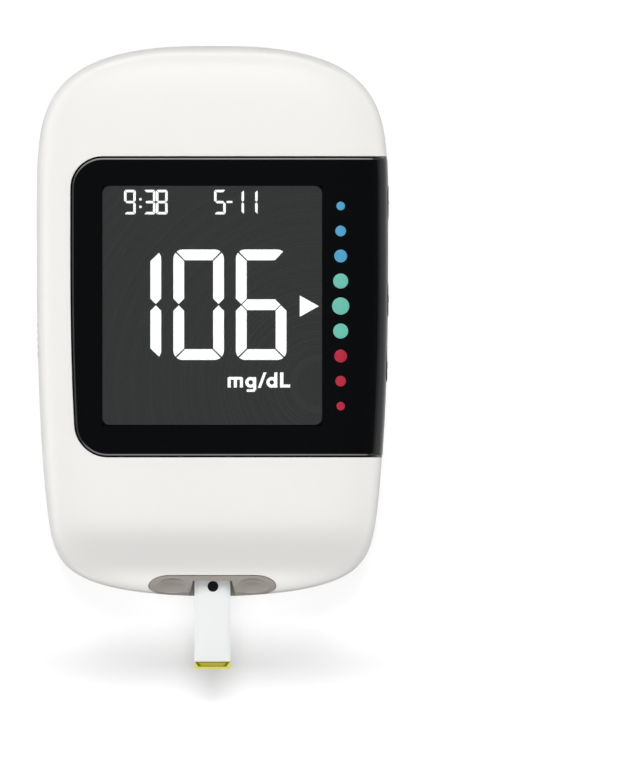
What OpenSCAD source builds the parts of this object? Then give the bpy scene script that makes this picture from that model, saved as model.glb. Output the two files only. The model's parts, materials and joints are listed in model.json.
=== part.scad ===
// Blood glucose meter lying on its back, display up, test strip in its port.
// Millimetres. +Z leaves the display, +Y runs to the charging socket end and
// +X to the side with the buttons. The origin is the middle of the flat back.

/* [Body] */
// Length of the body without the test strip
body_l = 77; // [74:0.5:84]
// Width of the body
body_w = 49; // [48:0.5:56]
// Height of the white front above the table
body_d = 15; // [14.6:0.1:18]
// Height of the parting line between the two covers
split_z = 7; // [6.9:0.1:8]
// Wall thickness of both covers
wall = 1.5; // [1.4:0.1:1.8]
// How far the widest line lies above the middle of the length
wide_y = 11.4; // [8:0.2:13]
// How far the back curve would pass below the flat it is cut to
back_cut = 0.4; // [0.2:0.1:0.8]
// Share of the width lost towards the strip end
nose_taper = 0.1226; // [0.09:0.0002:0.13]
// How far the shoulder of the strip end stands over its plain roll
shoulder_h = 0.45; // [0:0.05:0.6]
// How far the shoulder lies above the strip end
shoulder_in = 10.9; // [10:0.1:12]
// Half length of the shoulder
shoulder_l = 3; // [2.4:0.1:3.6]
// How far the lip of the strip end is hollowed under its plain roll
lip_h = 0.7; // [0:0.05:0.8]
// How far the lip lies above the strip end
lip_in = 4.3; // [4:0.1:4.8]
// Half length of the lip
lip_l = 2.2; // [1.8:0.1:2.6]

/* [Display window] */
// White margin above the window
window_over = 15.7; // [14.5:0.1:16.5]
// White margin below the window
window_under = 19.7; // [18.5:0.1:19.9]
// White margin left of the window
window_inset = 4.9; // [4.6:0.1:5.2]
// Corner radius of the window
window_r = 4.2; // [3:0.2:6]
// Thickness of the window
window_t = 1.1; // [0.9:0.1:1.2]
// How far the window stands proud of the white cover
window_proud = 0.3; // [0.1:0.1:0.4]
// Gap between the window and the white cover
window_gap = 0.25; // [0.2:0.05:0.4]
// Clearance under the window
window_seat = 0.05; // [0.04:0.01:0.08]
// Margin from the body's side to the clear view
view_side = 9.2; // [9:0.1:10.5]
// Black margin above the clear view
view_over = 3.95; // [3.7:0.05:5.2]
// Black margin below the clear view
view_under = 4.15; // [3.9:0.05:5.4]
// Corner radius of the clear view
view_r = 0.8; // [0.4:0.1:1.5]
// Distance of the range dots from the right side
dot_side = 6.6; // [5.9:0.1:6.9]
// Spacing of the range dots
dot_pitch = 3.485; // [3.2:0.05:3.6]
// Radius of the largest range dot
dot_r = 1.2; // [0.9:0.05:1.3]
// Radius lost from one dot to the next
dot_step = 0.153; // [0.1:0.01:0.18]
// Depth of the dots in the window
dot_t = 0.4; // [0.3:0.05:0.6]

/* [Display cell] */
// Margin of the display glass around the clear view
glass_margin = 2.4; // [1.8:0.1:2.6]
// Thickness of each sheet of display glass
glass_t = 0.7; // [0.5:0.1:0.8]
// Thickness of the cell gap with its segments
cell_t = 0.1; // [0.05:0.05:0.2]
// Thickness of the polariser film
film_t = 0.2; // [0.1:0.05:0.3]
// Depth of the display cell below the front
lcd_drop = 3; // [2.8:0.1:3.2]
// Thickness of the light guide
guide_t = 1.4; // [1.2:0.1:1.6]
// Wall of the display holder
holder_wall = 0.9; // [0.7:0.1:1]
// Height of a large digit
digit_h = 15.4; // [13:0.2:16]
// Width of a large digit
digit_w = 7.05; // [6:0.1:7.4]
// Stroke of a large digit
digit_s = 1.5; // [1:0.1:1.8]

/* [Buttons] */
// Length of a side button
button_l = 5; // [4:0.2:6]
// Height of a side button
button_h = 2.6; // [2.2:0.1:2.9]
// Press travel of a side button
button_travel = 0.4; // [0.2:0.05:0.5]
// How far a button stands out of the window's flank
button_proud = 0.12; // [0.05:0.01:0.2]
// Running gap around a button
button_gap = 0.15; // [0.1:0.01:0.2]
// Height of the buttons' centre line above the parting line
button_up = 2.4; // [2.2:0.1:2.6]
// Distance of the power button below the window's upper edge
power_drop = 6.2; // [5:0.2:8]
// Distance of the up button above the window's lower edge
up_rise = 21.8; // [21:0.2:24]
// Distance of the down button above the window's lower edge
down_rise = 12.8; // [11:0.2:14]
// Depth of a switch behind a button
switch_d = 1.6; // [1.2:0.1:1.7]
// Radius of a switch plunger
plunger_r = 0.6; // [0.4:0.05:0.7]

/* [Strip and port] */
// Width of a test strip
strip_w = 5; // [4.6:0.1:5.4]
// Length of a test strip
strip_l = 24; // [22:0.5:25]
// Thickness of a test strip
strip_t = 0.45; // [0.3:0.05:0.6]
// Length of strip outside the body
strip_out = 10; // [8:0.5:12]
// Height of the underside of the strip above the parting line
strip_up = 1; // [0.9:0.05:1.1]
// Clearance around the strip in its slot
strip_gap = 0.15; // [0.1:0.01:0.2]
// Length of the yellow sampling edge
tip_l = 1.07; // [0.8:0.05:1.4]
// Half width of the port surround
port_w = 8.85; // [8:0.1:9.4]
// Depth of the port surround from the nose, seen from the front
port_d = 3; // [2.6:0.1:3.2]
// Width of rim left above the strip
port_rim = 0.7; // [0.5:0.05:0.9]
// Gap between the port surround and the cover
port_gap = 0.08; // [0.05:0.01:0.12]

/* [Ejector] */
// Travel of the strip ejector
eject_travel = 4; // [3:0.25:4.5]
// Length of the ejector's thumb piece
thumb_l = 8; // [7:0.25:9]
// Height of the thumb piece
thumb_h = 2.4; // [2:0.1:2.6]
// Middle of the thumb piece along the body
thumb_y = -1; // [-2:0.25:1]
// Radius of the return spring
spring_r = 0.85; // [0.7:0.05:0.9]
// Wire radius of the return spring
spring_wire = 0.15; // [0.1:0.01:0.18]
// Turns of the return spring
spring_turns = 8; // [6:1:10]
// Length of the return spring at rest
spring_l = 8.5; // [7.5:0.25:9]

/* [Power] */
// Diameter of the coin cell
coin_d = 20; // [18:0.5:20.5]
// Thickness of the coin cell
coin_t = 3.2; // [2.8:0.1:3.3]
// Distance of the coin cell's middle from the top end
coin_over = 21; // [20:0.25:22]
// Height of the underside of the coin cell
coin_z = 1.9; // [1.8:0.05:2]
// Width of the battery door
door_w = 21; // [20.8:0.1:21.6]
// Length of the battery door
door_l = 26; // [24.5:0.5:27]
// Running gap around the battery door
door_gap = 0.15; // [0.1:0.01:0.2]
// Radius of the door's hinge pins
pin_r = 0.4; // [0.3:0.05:0.5]

/* [Board and fixings] */
// Thickness of the circuit board
board_t = 1; // [0.8:0.1:1.2]
// Gap between the board and the side walls
board_gap = 1.7; // [1.6:0.1:2]
// Radius of the case screw threads
screw_r = 0.8; // [0.7:0.05:0.9]
// Sideways place of the lower case screws
low_screw_x = 12; // [11:0.2:12.6]
// Sideways place of the upper case screws
high_screw_x = 10; // [9:0.2:10.4]
// Sideways place of the board screws
board_screw_x = 15; // [14:0.2:16]
// Width of the rear label
label_w = 28; // [24:0.5:30]
// Length of the rear label
label_l = 21.5; // [18:0.5:22]
// Width of the charging socket
socket_w = 7.5; // [7:0.1:8]
// Height of the charging socket
socket_h = 2.5; // [2.3:0.1:2.7]
// Depth of the charging socket
socket_d = 5.2; // [5:0.1:5.6]

/* [Hidden] */

eps = 0.01;
// How far a cut reaches past the face that it opens
cut = 1;
// How far a pillar runs into the wall that carries it
root = 0.3;
white = [0.95, 0.945, 0.94];
black = [0.04, 0.045, 0.05];
grey = [0.62, 0.60, 0.57];
steel = [0.72, 0.73, 0.75];
brass = [0.80, 0.66, 0.32];

// Exponents of the outline's end curves, of the edge round and of the roll
top_m = 4.94;
top_n = 2.575;
nose_m = 21;
nose_n = 2;
taper_pow = 2.63;
edge_n = 5;
roll_top = 5;
roll_nose = 3;
back_nose = 7;

y_top = body_l/2;
y_nose = -body_l/2;
front_h = body_d - split_z;
back_h = split_z + back_cut;
window_top = y_top - window_over;
window_bottom = y_nose + window_under;
view_w = body_w - 2*view_side;
view_y0 = window_bottom + view_under;
view_y1 = window_top - view_over;
view_x0 = -view_w/2;
view_y = (view_y0 + view_y1)/2;
lcd_top = body_d - lcd_drop;
button_z = split_z + button_up;
power_y = window_top - power_drop;
up_y = window_bottom + up_rise;
down_y = window_bottom + down_rise;
strip_z = split_z + strip_up;
coin_y = y_top - coin_over;

// Share of the way from the widest line to an end, for a body shrunk by g
function way(y, g) = y >= wide_y ? (y - wide_y)/(y_top - g - wide_y)
                                 : (wide_y - y)/(wide_y - y_nose - g);
// Half width of the outline at y
function half(y, g) = let (t = min(1, way(y, g)))
    y >= wide_y ? (body_w/2 - g)*pow(1 - pow(t, top_m), 1/top_n)
                : (body_w/2 - g)*(1 - nose_taper*pow(t, taper_pow))
                  *pow(1 - pow(t, nose_m), 1/nose_n);
// Share of the full height at y; kn is the exponent towards the nose
function roll(y, g, kn=roll_nose) = let (t = min(1, way(y, g)), k = y >= wide_y ? roll_top : kn)
    pow(1 - pow(t, k), 1/k);
// Height of the front's middle line over the parting line
function bell(y, h, at, l) = h*exp(-pow((y - y_nose - at)/l, 2));
function crown(y, g) = max(0, (front_h - g)*roll(y, g)
    + bell(y, shoulder_h, shoulder_in, shoulder_l) - bell(y, lip_h, lip_in, lip_l));
// Height of the front surface over a point
function front(x, y, g=0) = split_z + crown(y, g)
    *pow(max(0, 1 - pow(min(1, abs(x)/max(half(y, g), eps)), edge_n)), 1/edge_n);
// Half width of the front at a height
function flank(y, z, g=0) = half(y, g)
    *pow(max(0, 1 - pow(min(1, (z - split_z)/crown(y, g)), edge_n)), 1/edge_n);

// Lines across the body from the nose to the top, closer at both ends
nose_steps = 22;
top_steps = 15;
crowding = 2.1;
function lines(g) = concat(
    [for (i = [nose_steps - 1:-1:1])
        wide_y - (wide_y - y_nose - g)*(1 - pow(1 - i/nose_steps, crowding))],
    [for (i = [0:top_steps - 1])
        wide_y + (y_top - g - wide_y)*(1 - pow(1 - i/top_steps, crowding))]);
// Half hoop across the body at y, from the right side to the left
function arch(y, g, h, up, steps, low) = [for (j = [0:steps])
    let (p = 180*j/steps, c = cos(p), s = max(0, sin(p)))
    [half(y, g)*sign(c)*pow(abs(c), 2/edge_n), y,
     max(low, split_z + (up > 0 ? crown(y, g) : -(h - g)*roll(y, g, back_nose))*pow(s, 2/edge_n))]];

// Half shell between the surface and its copy moved in by the wall, with a
// flat rim at the parting line; up is 1 for the front and -1 for the back
arch_steps = 24;
module half_shell(h, up, low_out, low_in) {
    ya = lines(0);
    yb = lines(wall);
    n = len(ya);
    w = arch_steps + 1;
    pts = concat(
        [for (y = ya) each arch(y, 0, h, up, arch_steps, low_out)],
        [[0, y_nose, split_z], [0, y_top, split_z]],
        [for (y = yb) each arch(y, wall, h, up, arch_steps, low_in)],
        [[0, y_nose + wall, split_z], [0, y_top - wall, split_z]]);
    inner = n*w + 2;
    skin = [for (b = [0, inner]) concat(
        [for (i = [0:n - 2], j = [0:arch_steps - 1], k = [0, 1]) k == 0
            ? [b + i*w + j, b + i*w + j + 1, b + (i + 1)*w + j + 1]
            : [b + i*w + j, b + (i + 1)*w + j + 1, b + (i + 1)*w + j]],
        [for (j = [0:arch_steps - 1]) [b + n*w, b + j + 1, b + j]],
        [for (j = [0:arch_steps - 1]) [b + (n - 1)*w + j, b + (n - 1)*w + j + 1, b + n*w + 1]])];
    loop = concat([n*w], [for (i = [0:n - 1]) i*w], [n*w + 1],
                  [for (i = [n - 1:-1:0]) i*w + arch_steps]);
    m = len(loop);
    rim = [for (k = [0:m - 1], q = [0, 1]) let (a = loop[k], b = loop[(k + 1) % m])
        q == 0 ? [a, b, b + inner] : [a, b + inner, a + inner]];
    all = concat(skin[0], [for (f = skin[1]) [f[2], f[1], f[0]]], rim);
    polyhedron(points = pts, faces = up > 0 ? all : [for (f = all) [f[2], f[1], f[0]]]);
}

// Patch of the front between two depths (negative is outside), from a left
// edge with rounded corners over the front and down the right flank
patch_steps = 16;
side_steps = 9;
function patch_y(grow) = let (r = window_r + grow, t = window_top + grow, b = window_bottom - grow)
    concat([for (a = [0:15:75]) b + r*(1 - cos(a))],
           [for (k = [0:side_steps]) b + r + (t - b - 2*r)*k/side_steps],
           [for (a = [75:-15:0]) t - r*(1 - cos(a))]);
function patch_left(y, grow) = let (r = window_r + grow, t = window_top + grow,
    b = window_bottom - grow, e = min(min(t - y, y - b), r))
    -(half(y, 0) - window_inset + grow) + r - sqrt(max(0, r*r - (r - e)*(r - e)));
function patch_row(y, g, grow, drop) = let (a = half(y, g), xl = patch_left(y, grow),
    end = acos(max(-1, -pow(min(1, -xl/a), edge_n/2))))
    [for (j = [0:patch_steps]) let (p = end*j/patch_steps, c = cos(p))
        [a*sign(c)*pow(abs(c), 2/edge_n), y,
         split_z + (j == 0 ? -drop : crown(y, g)*pow(sin(p), 2/edge_n))]];
module patch(g_out, g_in, grow, drop) {
    ys = patch_y(grow);
    n = len(ys);
    w = patch_steps + 1;
    pts = concat([for (y = ys) each patch_row(y, g_out, grow, drop)],
                 [for (y = ys) each patch_row(y, g_in, grow, drop)]);
    h = n*w;
    faces = concat(
        [for (i = [0:n - 2], j = [0:patch_steps - 1], k = [0:3])
            let (a = i*w + j, b = a + 1, c = a + w + 1, d = a + w)
            k == 0 ? [a, b, c] : k == 1 ? [a, c, d]
            : k == 2 ? [c + h, b + h, a + h] : [d + h, c + h, a + h]],
        [for (i = [0:n - 2], k = [0:3])
            let (a = i*w, d = a + w, p = a + patch_steps, q = d + patch_steps)
            k == 0 ? [a, d, d + h] : k == 1 ? [a, d + h, a + h]
            : k == 2 ? [q, p, p + h] : [q, p + h, q + h]],
        [for (j = [0:patch_steps - 1], k = [0:3]) let (a = j, b = j + 1, p = (n - 1)*w + j, q = p + 1)
            k == 0 ? [b, a, a + h] : k == 1 ? [b, a + h, b + h]
            : k == 2 ? [p, q, q + h] : [p, q + h, p + h]]);
    polyhedron(points = pts, faces = faces);
}

// Upright block with round corners
module block(x0, x1, y0, y1, z0, z1, r) {
    translate([x0 + r, y0, z0]) cube([x1 - x0 - 2*r, y1 - y0, z1 - z0]);
    translate([x0, y0 + r, z0]) cube([x1 - x0, y1 - y0 - 2*r, z1 - z0]);
    for (x = [x0 + r, x1 - r], y = [y0 + r, y1 - r])
        translate([x, y, z0]) cylinder(r = r, h = z1 - z0, $fn = 48);
}
module box(x0, x1, y0, y1, z0, z1) {
    translate([x0, y0, z0]) cube([x1 - x0, y1 - y0, z1 - z0]);
}

// The cover's own opening is wider than the view by this much on each side
view_step = 0.6;
recess = window_t - window_proud + window_seat;

// Room round the glass in its holder, and what the front glass leaves bare
// of the rear one for the rubber strip
cell_gap = 0.1;
ledge = 1.8;
glass_x = view_w/2 + glass_margin;
glass_y0 = view_y0 - glass_margin;
glass_y1 = view_y1 + glass_margin;
film_z = lcd_top - film_t;
top_glass_z = film_z - glass_t;
cell_z = top_glass_z - cell_t;
low_glass_z = cell_z - glass_t;
guide_z = low_glass_z - cell_gap - guide_t;
holder_x = glass_x + cell_gap + holder_wall;
holder_y0 = glass_y0 - cell_gap - holder_wall;
holder_y1 = glass_y1 + cell_gap + holder_wall;
board_z = split_z - board_t;
board_top = split_z;

// Range dots: each lies square to the window's surface at its place
dots = [for (i = [-4:4]) [i, dot_r - dot_step*abs(i)]];
dot_x = body_w/2 - dot_side;
function glaze(x, y) = front(x, y, -window_proud);
dot_tilt = atan(glaze(dot_x - 0.5, view_y) - glaze(dot_x + 0.5, view_y));
module dot(i, r, deep) {
    y = view_y - i*dot_pitch;
    translate([dot_x, y, glaze(dot_x, y)])
        rotate([atan(glaze(dot_x, y + 0.5) - glaze(dot_x, y - 0.5)), dot_tilt, 0])
            translate([0, 0, -dot_t]) cylinder(r = r, h = deep, $fn = 40);
}

// Plan outline of the strip port's surround, moved out by g: a straight
// upper edge with elliptical ends, and a lower curve that passes the nose by port_past
port_y = y_nose + port_d/2;
port_past = 0.45;
port_end = 3;
function port_outline(g) = concat(
    [for (a = [0:9:90]) [port_w - port_end + (port_end + g)*cos(a), port_y + (port_d/2 + g)*sin(a)]],
    [for (a = [90:9:180]) [port_end - port_w + (port_end + g)*cos(a), port_y + (port_d/2 + g)*sin(a)]],
    [for (a = [189:9:351])
        [(port_w + g)*cos(a), port_y + (port_d/2 + port_past + g)*sin(a)]]);

// Test strip and, behind it, the arm that pushes it out
strip_y0 = y_nose - strip_out;
strip_y1 = strip_y0 + strip_l;
finger_l = 1.4;
arm_w = 1.6;
arm_y0 = strip_y1 + finger_l;
arm_y1 = arm_y0 + arm_w;
arm_gap = 0.25;

// Case screws: the lower pair lies between the label and the nose, the upper
// pair above the door
head_r = screw_r*2;
head_h = 1;
head_gap = 0.15;
case_boss_r = head_r + 0.7;
high_screw_over = 4.5;
low_screw_y = arm_y0 - eject_travel - arm_gap - case_boss_r;
high_screw_y = y_top - high_screw_over;
case_spots = [[low_screw_x, low_screw_y], [-low_screw_x, low_screw_y],
              [high_screw_x, high_screw_y], [-high_screw_x, high_screw_y]];
sink_z = 2.2;
screw_bite = 3.2;
screw_top = split_z + screw_bite;
board_screw_y = coin_y + coin_d/2 + 1.5;
board_spots = [[board_screw_x, board_screw_y], [-board_screw_x, board_screw_y],
               [board_screw_x, low_screw_y + 5.65]];
board_boss_r = 1.6;
board_pilot_r = screw_r*0.75;

door_y0 = coin_y - door_l/2;
door_y1 = coin_y + door_l/2;
hinge_r = wall/2;
hinge_y = door_y1 - hinge_r;
well_r = coin_d/2 + 0.3;
well_wall = 1.2;
well_top = board_z - 0.7;

label_gap = 0.15;
label_r = 1.5;
label_t = 0.1;
label_deep = 0.15;
label_y0 = low_screw_y + head_r + head_gap + 1.4;
label_y1 = label_y0 + label_l;

// Ejector: the thumb piece stands in a slot of the left flank, the shutter
// behind it clears the wall over the whole travel, and the rail runs between
// the wall and the display holder
thumb_up = 1.7;
slot_gap = 0.15;
shutter_lap = 0.4;
thumb_x = -half(thumb_y, 0);
thumb_z = split_z + thumb_up;
shutter_t = 0.6;
shutter_z = thumb_z + thumb_h/2 + 0.3;
shutter_y0 = thumb_y - thumb_l/2 - eject_travel - shutter_lap;
shutter_y1 = thumb_y + thumb_l/2 + eject_travel + shutter_lap;
shutter_x = -(flank(shutter_y0 - eject_travel - root, shutter_z + 0.1, wall) - slot_gap);
rail_w = 1.1;
rail_t = 0.6;
rail_x1 = -(holder_x + 0.35);
rail_x0 = rail_x1 - rail_w;
rail_z = board_top + arm_gap;
spring_x = rail_x0 + 0.35;
spring_z = rail_z + rail_t + spring_r + spring_wire + 0.1;
spring_y1 = thumb_y - 3.2;
spring_y0 = spring_y1 - spring_l;
lug_t = 0.9;

socket_gap = 0.3;
socket_in = 1.4;
socket_z = split_z;
socket_y1 = y_top - socket_in;
socket_y0 = socket_y1 - socket_d;

// Side buttons: where the cap meets the window's flank, and the wall's inside
buttons = [power_y, up_y, down_y];
function button_x(y) = half(y, -window_proud);
function inner_x(y) = flank(y, button_z + button_h/2 + 0.45, wall);

// Pill lying along Y, pushed out along X from x0 to x1
module pill(y, x0, x1, l, h) {
    translate([x0, y, button_z]) rotate([90, 0, 90]) {
        for (s = [-1, 1]) translate([s*(l - h)/2, 0, 0]) cylinder(d = h, h = x1 - x0, $fn = 40);
        translate([-(l - h)/2, -h/2, 0]) cube([l - h, h, x1 - x0]);
    }
}
// Upright rod on a spot of the plan
module rod(spot, r, z0, z1, n) {
    translate([spot[0], spot[1], z0]) cylinder(r = r, h = z1 - z0, $fn = n);
}

module front_cover() color(white) difference() {
    union() {
        half_shell(front_h, 1, -100, -100);
        // pillars that take the case screws
        for (s = case_spots) rod(s, case_boss_r, split_z, front(s[0], s[1], wall) + root, 48);
    }
    // seat of the window and the opening for the display cell
    patch(-1.5, recess, window_gap, cut);
    block(view_x0 - view_step, -view_x0 + view_step, view_y0 - view_step, view_y1 + view_step,
          split_z + cut, body_d + cut, view_r);
    // button holes through the flank behind the window
    for (y = buttons)
        pill(y, inner_x(y) - 3, half(y, 0) + cut, button_l + 0.5, button_h + 0.5);
    // strip port, charging socket and ejector slot
    translate([0, 0, split_z - cut]) linear_extrude(front_h + 2*cut) polygon(port_outline(port_gap));
    block(-socket_w/2 - socket_gap, socket_w/2 + socket_gap, y_top - 4, y_top + cut,
          split_z - cut, socket_z + socket_h + socket_gap, 0.3);
    box(-body_w/2 - cut, -body_w/2 + 4, thumb_y - thumb_l/2 - eject_travel - slot_gap,
        thumb_y + thumb_l/2 + slot_gap, thumb_z - thumb_h/2 - slot_gap, thumb_z + thumb_h/2 + slot_gap);
    // threads
    for (s = case_spots) rod(s, screw_r, split_z - cut, screw_top + 0.2, 32);
}

module rear_cover() color(white) difference() {
    union() {
        half_shell(back_h, -1, 0, wall);
        // well round the coin cell
        rod([0, coin_y], well_r + well_wall, wall - root, well_top, 96);
        // pillars for the case screws and the board screws
        for (s = case_spots) rod(s, case_boss_r, wall - root, split_z, 48);
        for (s = board_spots) rod(s, board_boss_r, wall - root, board_z, 40);
    }
    // room of the coin cell and the door's opening
    rod([0, coin_y], well_r, coin_z - 0.5, split_z + cut, 96);
    box(-door_w/2 - door_gap, door_w/2 + door_gap, door_y0 - door_gap, door_y1 + door_gap,
        -cut, wall + eps);
    // way through the well for the plus contact
    box(-contact_w/2 - 0.3, contact_w/2 + 0.3, coin_y + well_r - cut, coin_y + well_r + well_wall + cut,
        wall + eps, split_z + cut);
    // bores for the door's hinge pins
    translate([-door_w/2 - pin_l - 0.1, hinge_y, hinge_r]) rotate([0, 90, 0])
        cylinder(r = pin_r + 0.05, h = door_w + 2*pin_l + 0.2, $fn = 32);
    // recess of the label
    block(-label_w/2 - label_gap, label_w/2 + label_gap, label_y0 - label_gap, label_y1 + label_gap,
          -cut, label_deep, label_r);
    // sinks and ways for the case screws, and the board screws' threads
    for (s = case_spots) {
        rod(s, head_r + head_gap, -cut, sink_z, 40);
        rod(s, screw_r + 0.1, -cut, split_z + cut, 32);
    }
    for (s = board_spots) rod(s, board_pilot_r, wall + 0.6, split_z + cut, 32);
}

// Clear view through the window, as an upright block
module view_block() {
    block(view_x0, -view_x0, view_y0, view_y1, split_z + cut, body_d + 2*cut, view_r);
}
module display_window() color(black) difference() {
    patch(-window_proud, window_t - window_proud, 0, 0);
    view_block();
    for (d = dots) dot(d[0], d[1], dot_t + cut);
    for (y = buttons)
        pill(y, half(y, 0) - 3, half(y, 0) + cut, button_l + 2*button_gap, button_h + 2*button_gap);
}
module display_lens() color([0.25, 0.27, 0.3, 0.5]) intersection() {
    patch(-window_proud, window_t - window_proud, 0, 0);
    view_block();
}
blue = [0.37, 0.62, 0.80];
teal = [0.45, 0.76, 0.70];
red = [0.75, 0.18, 0.29];
dot_stand = 0.03;
module range_dots()
    for (d = dots) color(d[0] < -1 ? blue : d[0] < 2 ? teal : red) dot(d[0], d[1], dot_t + dot_stand);

module lcd_polariser() color([0.3, 0.3, 0.32, 0.4])
    block(-glass_x + 0.4, glass_x - 0.4, glass_y0 + 0.4, glass_y1 - 0.4, film_z, lcd_top, 0.5);
module lcd_front_glass() color([0.8, 0.9, 0.9, 0.3])
    box(-glass_x, glass_x, glass_y0 + ledge, glass_y1, top_glass_z, film_z);
module lcd_rear_glass() color([0.22, 0.22, 0.22])
    box(-glass_x, glass_x, glass_y0, glass_y1, low_glass_z, cell_z);

// Figures of seven segments, each in its own box with its lower left corner
// at zero: w wide, h high, stroke s, gap g and outer corner radius r
function bow(cx, cy, r, a, b) =
    [for (k = [0:4]) [cx + r*cos(a + (b - a)*k/4), cy + r*sin(a + (b - a)*k/4)]];
module post(w, h, s, g, r) polygon(concat(
    [[s/2, h/2 + g], [s, h/2 + s/2 + g], [s, h - s - 1.2*g]],
    bow(r, h - r, r, 140, 180), [[0, h/2 + s/2 + g]]));
module cap(w, h, s, g, r) polygon(concat(
    bow(r, h - r, r, 130, 90), bow(w - r, h - r, r, 90, 50),
    [[w - s - 1.2*g, h - s], [s + 1.2*g, h - s]]));
module bar(w, h, s, g) polygon([
    [s/2 + g, h/2], [s + g, h/2 + s/2], [w - s - g, h/2 + s/2],
    [w - s/2 - g, h/2], [w - s - g, h/2 - s/2], [s + g, h/2 - s/2]]);
module figure(on, w, h, s, g, r) linear_extrude(cell_t) {
    if (on[0] == 1) cap(w, h, s, g, r);
    if (on[1] == 1) translate([w, 0]) mirror([1, 0]) post(w, h, s, g, r);
    if (on[2] == 1) translate([w, h]) mirror([1, 0]) mirror([0, 1]) post(w, h, s, g, r);
    if (on[3] == 1) translate([0, h]) mirror([0, 1]) cap(w, h, s, g, r);
    if (on[4] == 1) translate([0, h]) mirror([0, 1]) post(w, h, s, g, r);
    if (on[5] == 1) post(w, h, s, g, r);
    if (on[6] == 1) bar(w, h, s, g);
}
// Segments that are on in the figures 0 to 9: top, right, right, low, left,
// left and middle
FIG = [[1, 1, 1, 1, 1, 1, 0], [0, 1, 1, 0, 0, 0, 0], [1, 1, 0, 1, 1, 0, 1], [1, 1, 1, 1, 0, 0, 1],
       [0, 1, 1, 0, 0, 1, 1], [1, 0, 1, 1, 0, 1, 1], [1, 0, 1, 1, 1, 1, 1], [1, 1, 1, 0, 0, 0, 0],
       [1, 1, 1, 1, 1, 1, 1], [1, 1, 1, 1, 0, 1, 1]];
small_w = 1.62;
small_h = 3.42;
small_s = 0.34;
small_drop = 3.95;
small_y = view_y1 - small_drop;
module big(n, x) translate([x, view_y + 0.2 - digit_h/2, 0])
    figure(FIG[n], digit_w, digit_h, digit_s, 0.1, 1.3);
module small(n, x) translate([x, small_y, 0])
    figure(FIG[n], small_w, small_h, small_s, 0.05, 0.3);

// Unit of the reading: strokes 0.42 wide, small letters 1.4 and tall ones 2.1
letter_s = 0.42;
module round_letter(x, y0, y1) difference() {
    union() {
        translate([x, 0.72]) circle(r = 0.75, $fn = 32);
        translate([x + 0.35, y0]) square([letter_s, y1 - y0]);
    }
    translate([x, 0.72]) circle(r = 0.32, $fn = 32);
}
module unit() {
    // m
    for (x = [0, 0.85, 1.7]) translate([x, 0]) square([letter_s, 1.4]);
    translate([0.2, 1.1]) square([1.7, 0.38]);
    // g with its tail
    round_letter(3.2, -0.35, 1.45);
    translate([2.65, -0.6]) square([1.15, 0.34]);
    // stroke, d and L
    polygon([[4.2, -0.05], [4.6, -0.05], [5.4, 2.1], [5, 2.1]]);
    round_letter(6.15, 0, 2.1);
    translate([7.3, 0]) square([letter_s + 0.04, 2.1]);
    translate([7.3, 0]) square([1.4, letter_s]);
}
module lcd_digits() color("white") translate([0, 0, cell_z]) {
    // reading
    big(1, -14.18);
    big(0, -5.43);
    big(6, 3.29);
    // pointer to the range dots, and the unit
    translate([0, view_y, 0]) linear_extrude(cell_t) {
        polygon([[12.2, -1.48], [14.85, 0], [12.2, 1.48]]);
        translate([2.15, -11.35]) unit();
    }
    // clock and date
    small(9, -12.3);
    for (y = [1.05, 2.1]) translate([-10.02, small_y + y, 0]) cylinder(r = 0.18, h = cell_t, $fn = 24);
    small(3, -9.55);
    small(8, -7.85);
    small(5, 0.25);
    translate([2.0, small_y + 1.59, 0]) cube([0.8, 0.28, cell_t]);
    small(1, 2.8);
    small(1, 4.7);
}

// White frame that carries the cell, with a lug for the ejector's spring
zebra_y0 = glass_y0 + 0.2;
zebra_y1 = zebra_y0 + 1.1;
zebra_in = 2;
module lcd_holder() color([0.85, 0.85, 0.85]) difference() {
    union() {
        block(-holder_x, holder_x, holder_y0, holder_y1, board_top, lcd_top - 0.3, 0.8);
        box(spring_x - spring_r - 0.2, -holder_x + 0.2, spring_y0 - lug_t, spring_y0,
            rail_z + rail_t + 0.1, spring_z + spring_r + 0.2);
    }
    // room for the rubber strip, the cell and the light guide
    box(-glass_x + zebra_in - 0.1, glass_x - zebra_in + 0.1, zebra_y0 - 0.05, zebra_y1 + 0.05,
        board_top - cut, lcd_top);
    box(-glass_x - cell_gap, glass_x + cell_gap, glass_y0 - cell_gap, glass_y1 + cell_gap,
        guide_z - cell_gap, lcd_top);
    box(-glass_x + 1, glass_x - 1, glass_y0 + 3, glass_y1 - 1, board_top - cut, lcd_top);
}
module backlight_guide() color([0.9, 0.93, 0.95, 0.6])
    box(-glass_x + 0.2, glass_x - 0.2, glass_y0 + ledge + 0.4, glass_y1 - 0.2, guide_z, guide_z + guide_t);
module backlight_leds() color([0.95, 0.9, 0.6])
    for (x = [-10, 0, 10]) box(x - 1.2, x + 1.2, glass_y0 + 1.4, glass_y0 + 2.1, guide_z, guide_z + 0.9);
module zebra_strip() color([0.75, 0.3, 0.35])
    box(-glass_x + zebra_in, glass_x - zebra_in, zebra_y0, zebra_y1, board_top, low_glass_z);

// Circuit board: its outline follows the covers, with a tongue under the
// charging socket; board_x is its half width at y
board_nose = arm_y0 - 11;
board_end = socket_y0 + 1;
shoulder_y = -17;
function board_x(y) = half(y, wall) - board_gap;
module main_board() color([0.10, 0.36, 0.20]) difference() {
    union() {
        hull() for (s = [-1, 1], y = [board_nose + 1, shoulder_y, wide_y, board_screw_y + 1])
            rod([s*(board_x(y) - 1), y], 1, board_z, board_top, 32);
        box(-socket_w/2 - 1, socket_w/2 + 1, board_screw_y, board_end, board_z, board_top);
    }
    for (s = case_spots) rod(s, case_boss_r + 0.2, board_z - cut, board_top + cut, 40);
    for (s = board_spots) rod(s, board_pilot_r + 0.1, board_z - cut, board_top + cut, 32);
}

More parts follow.
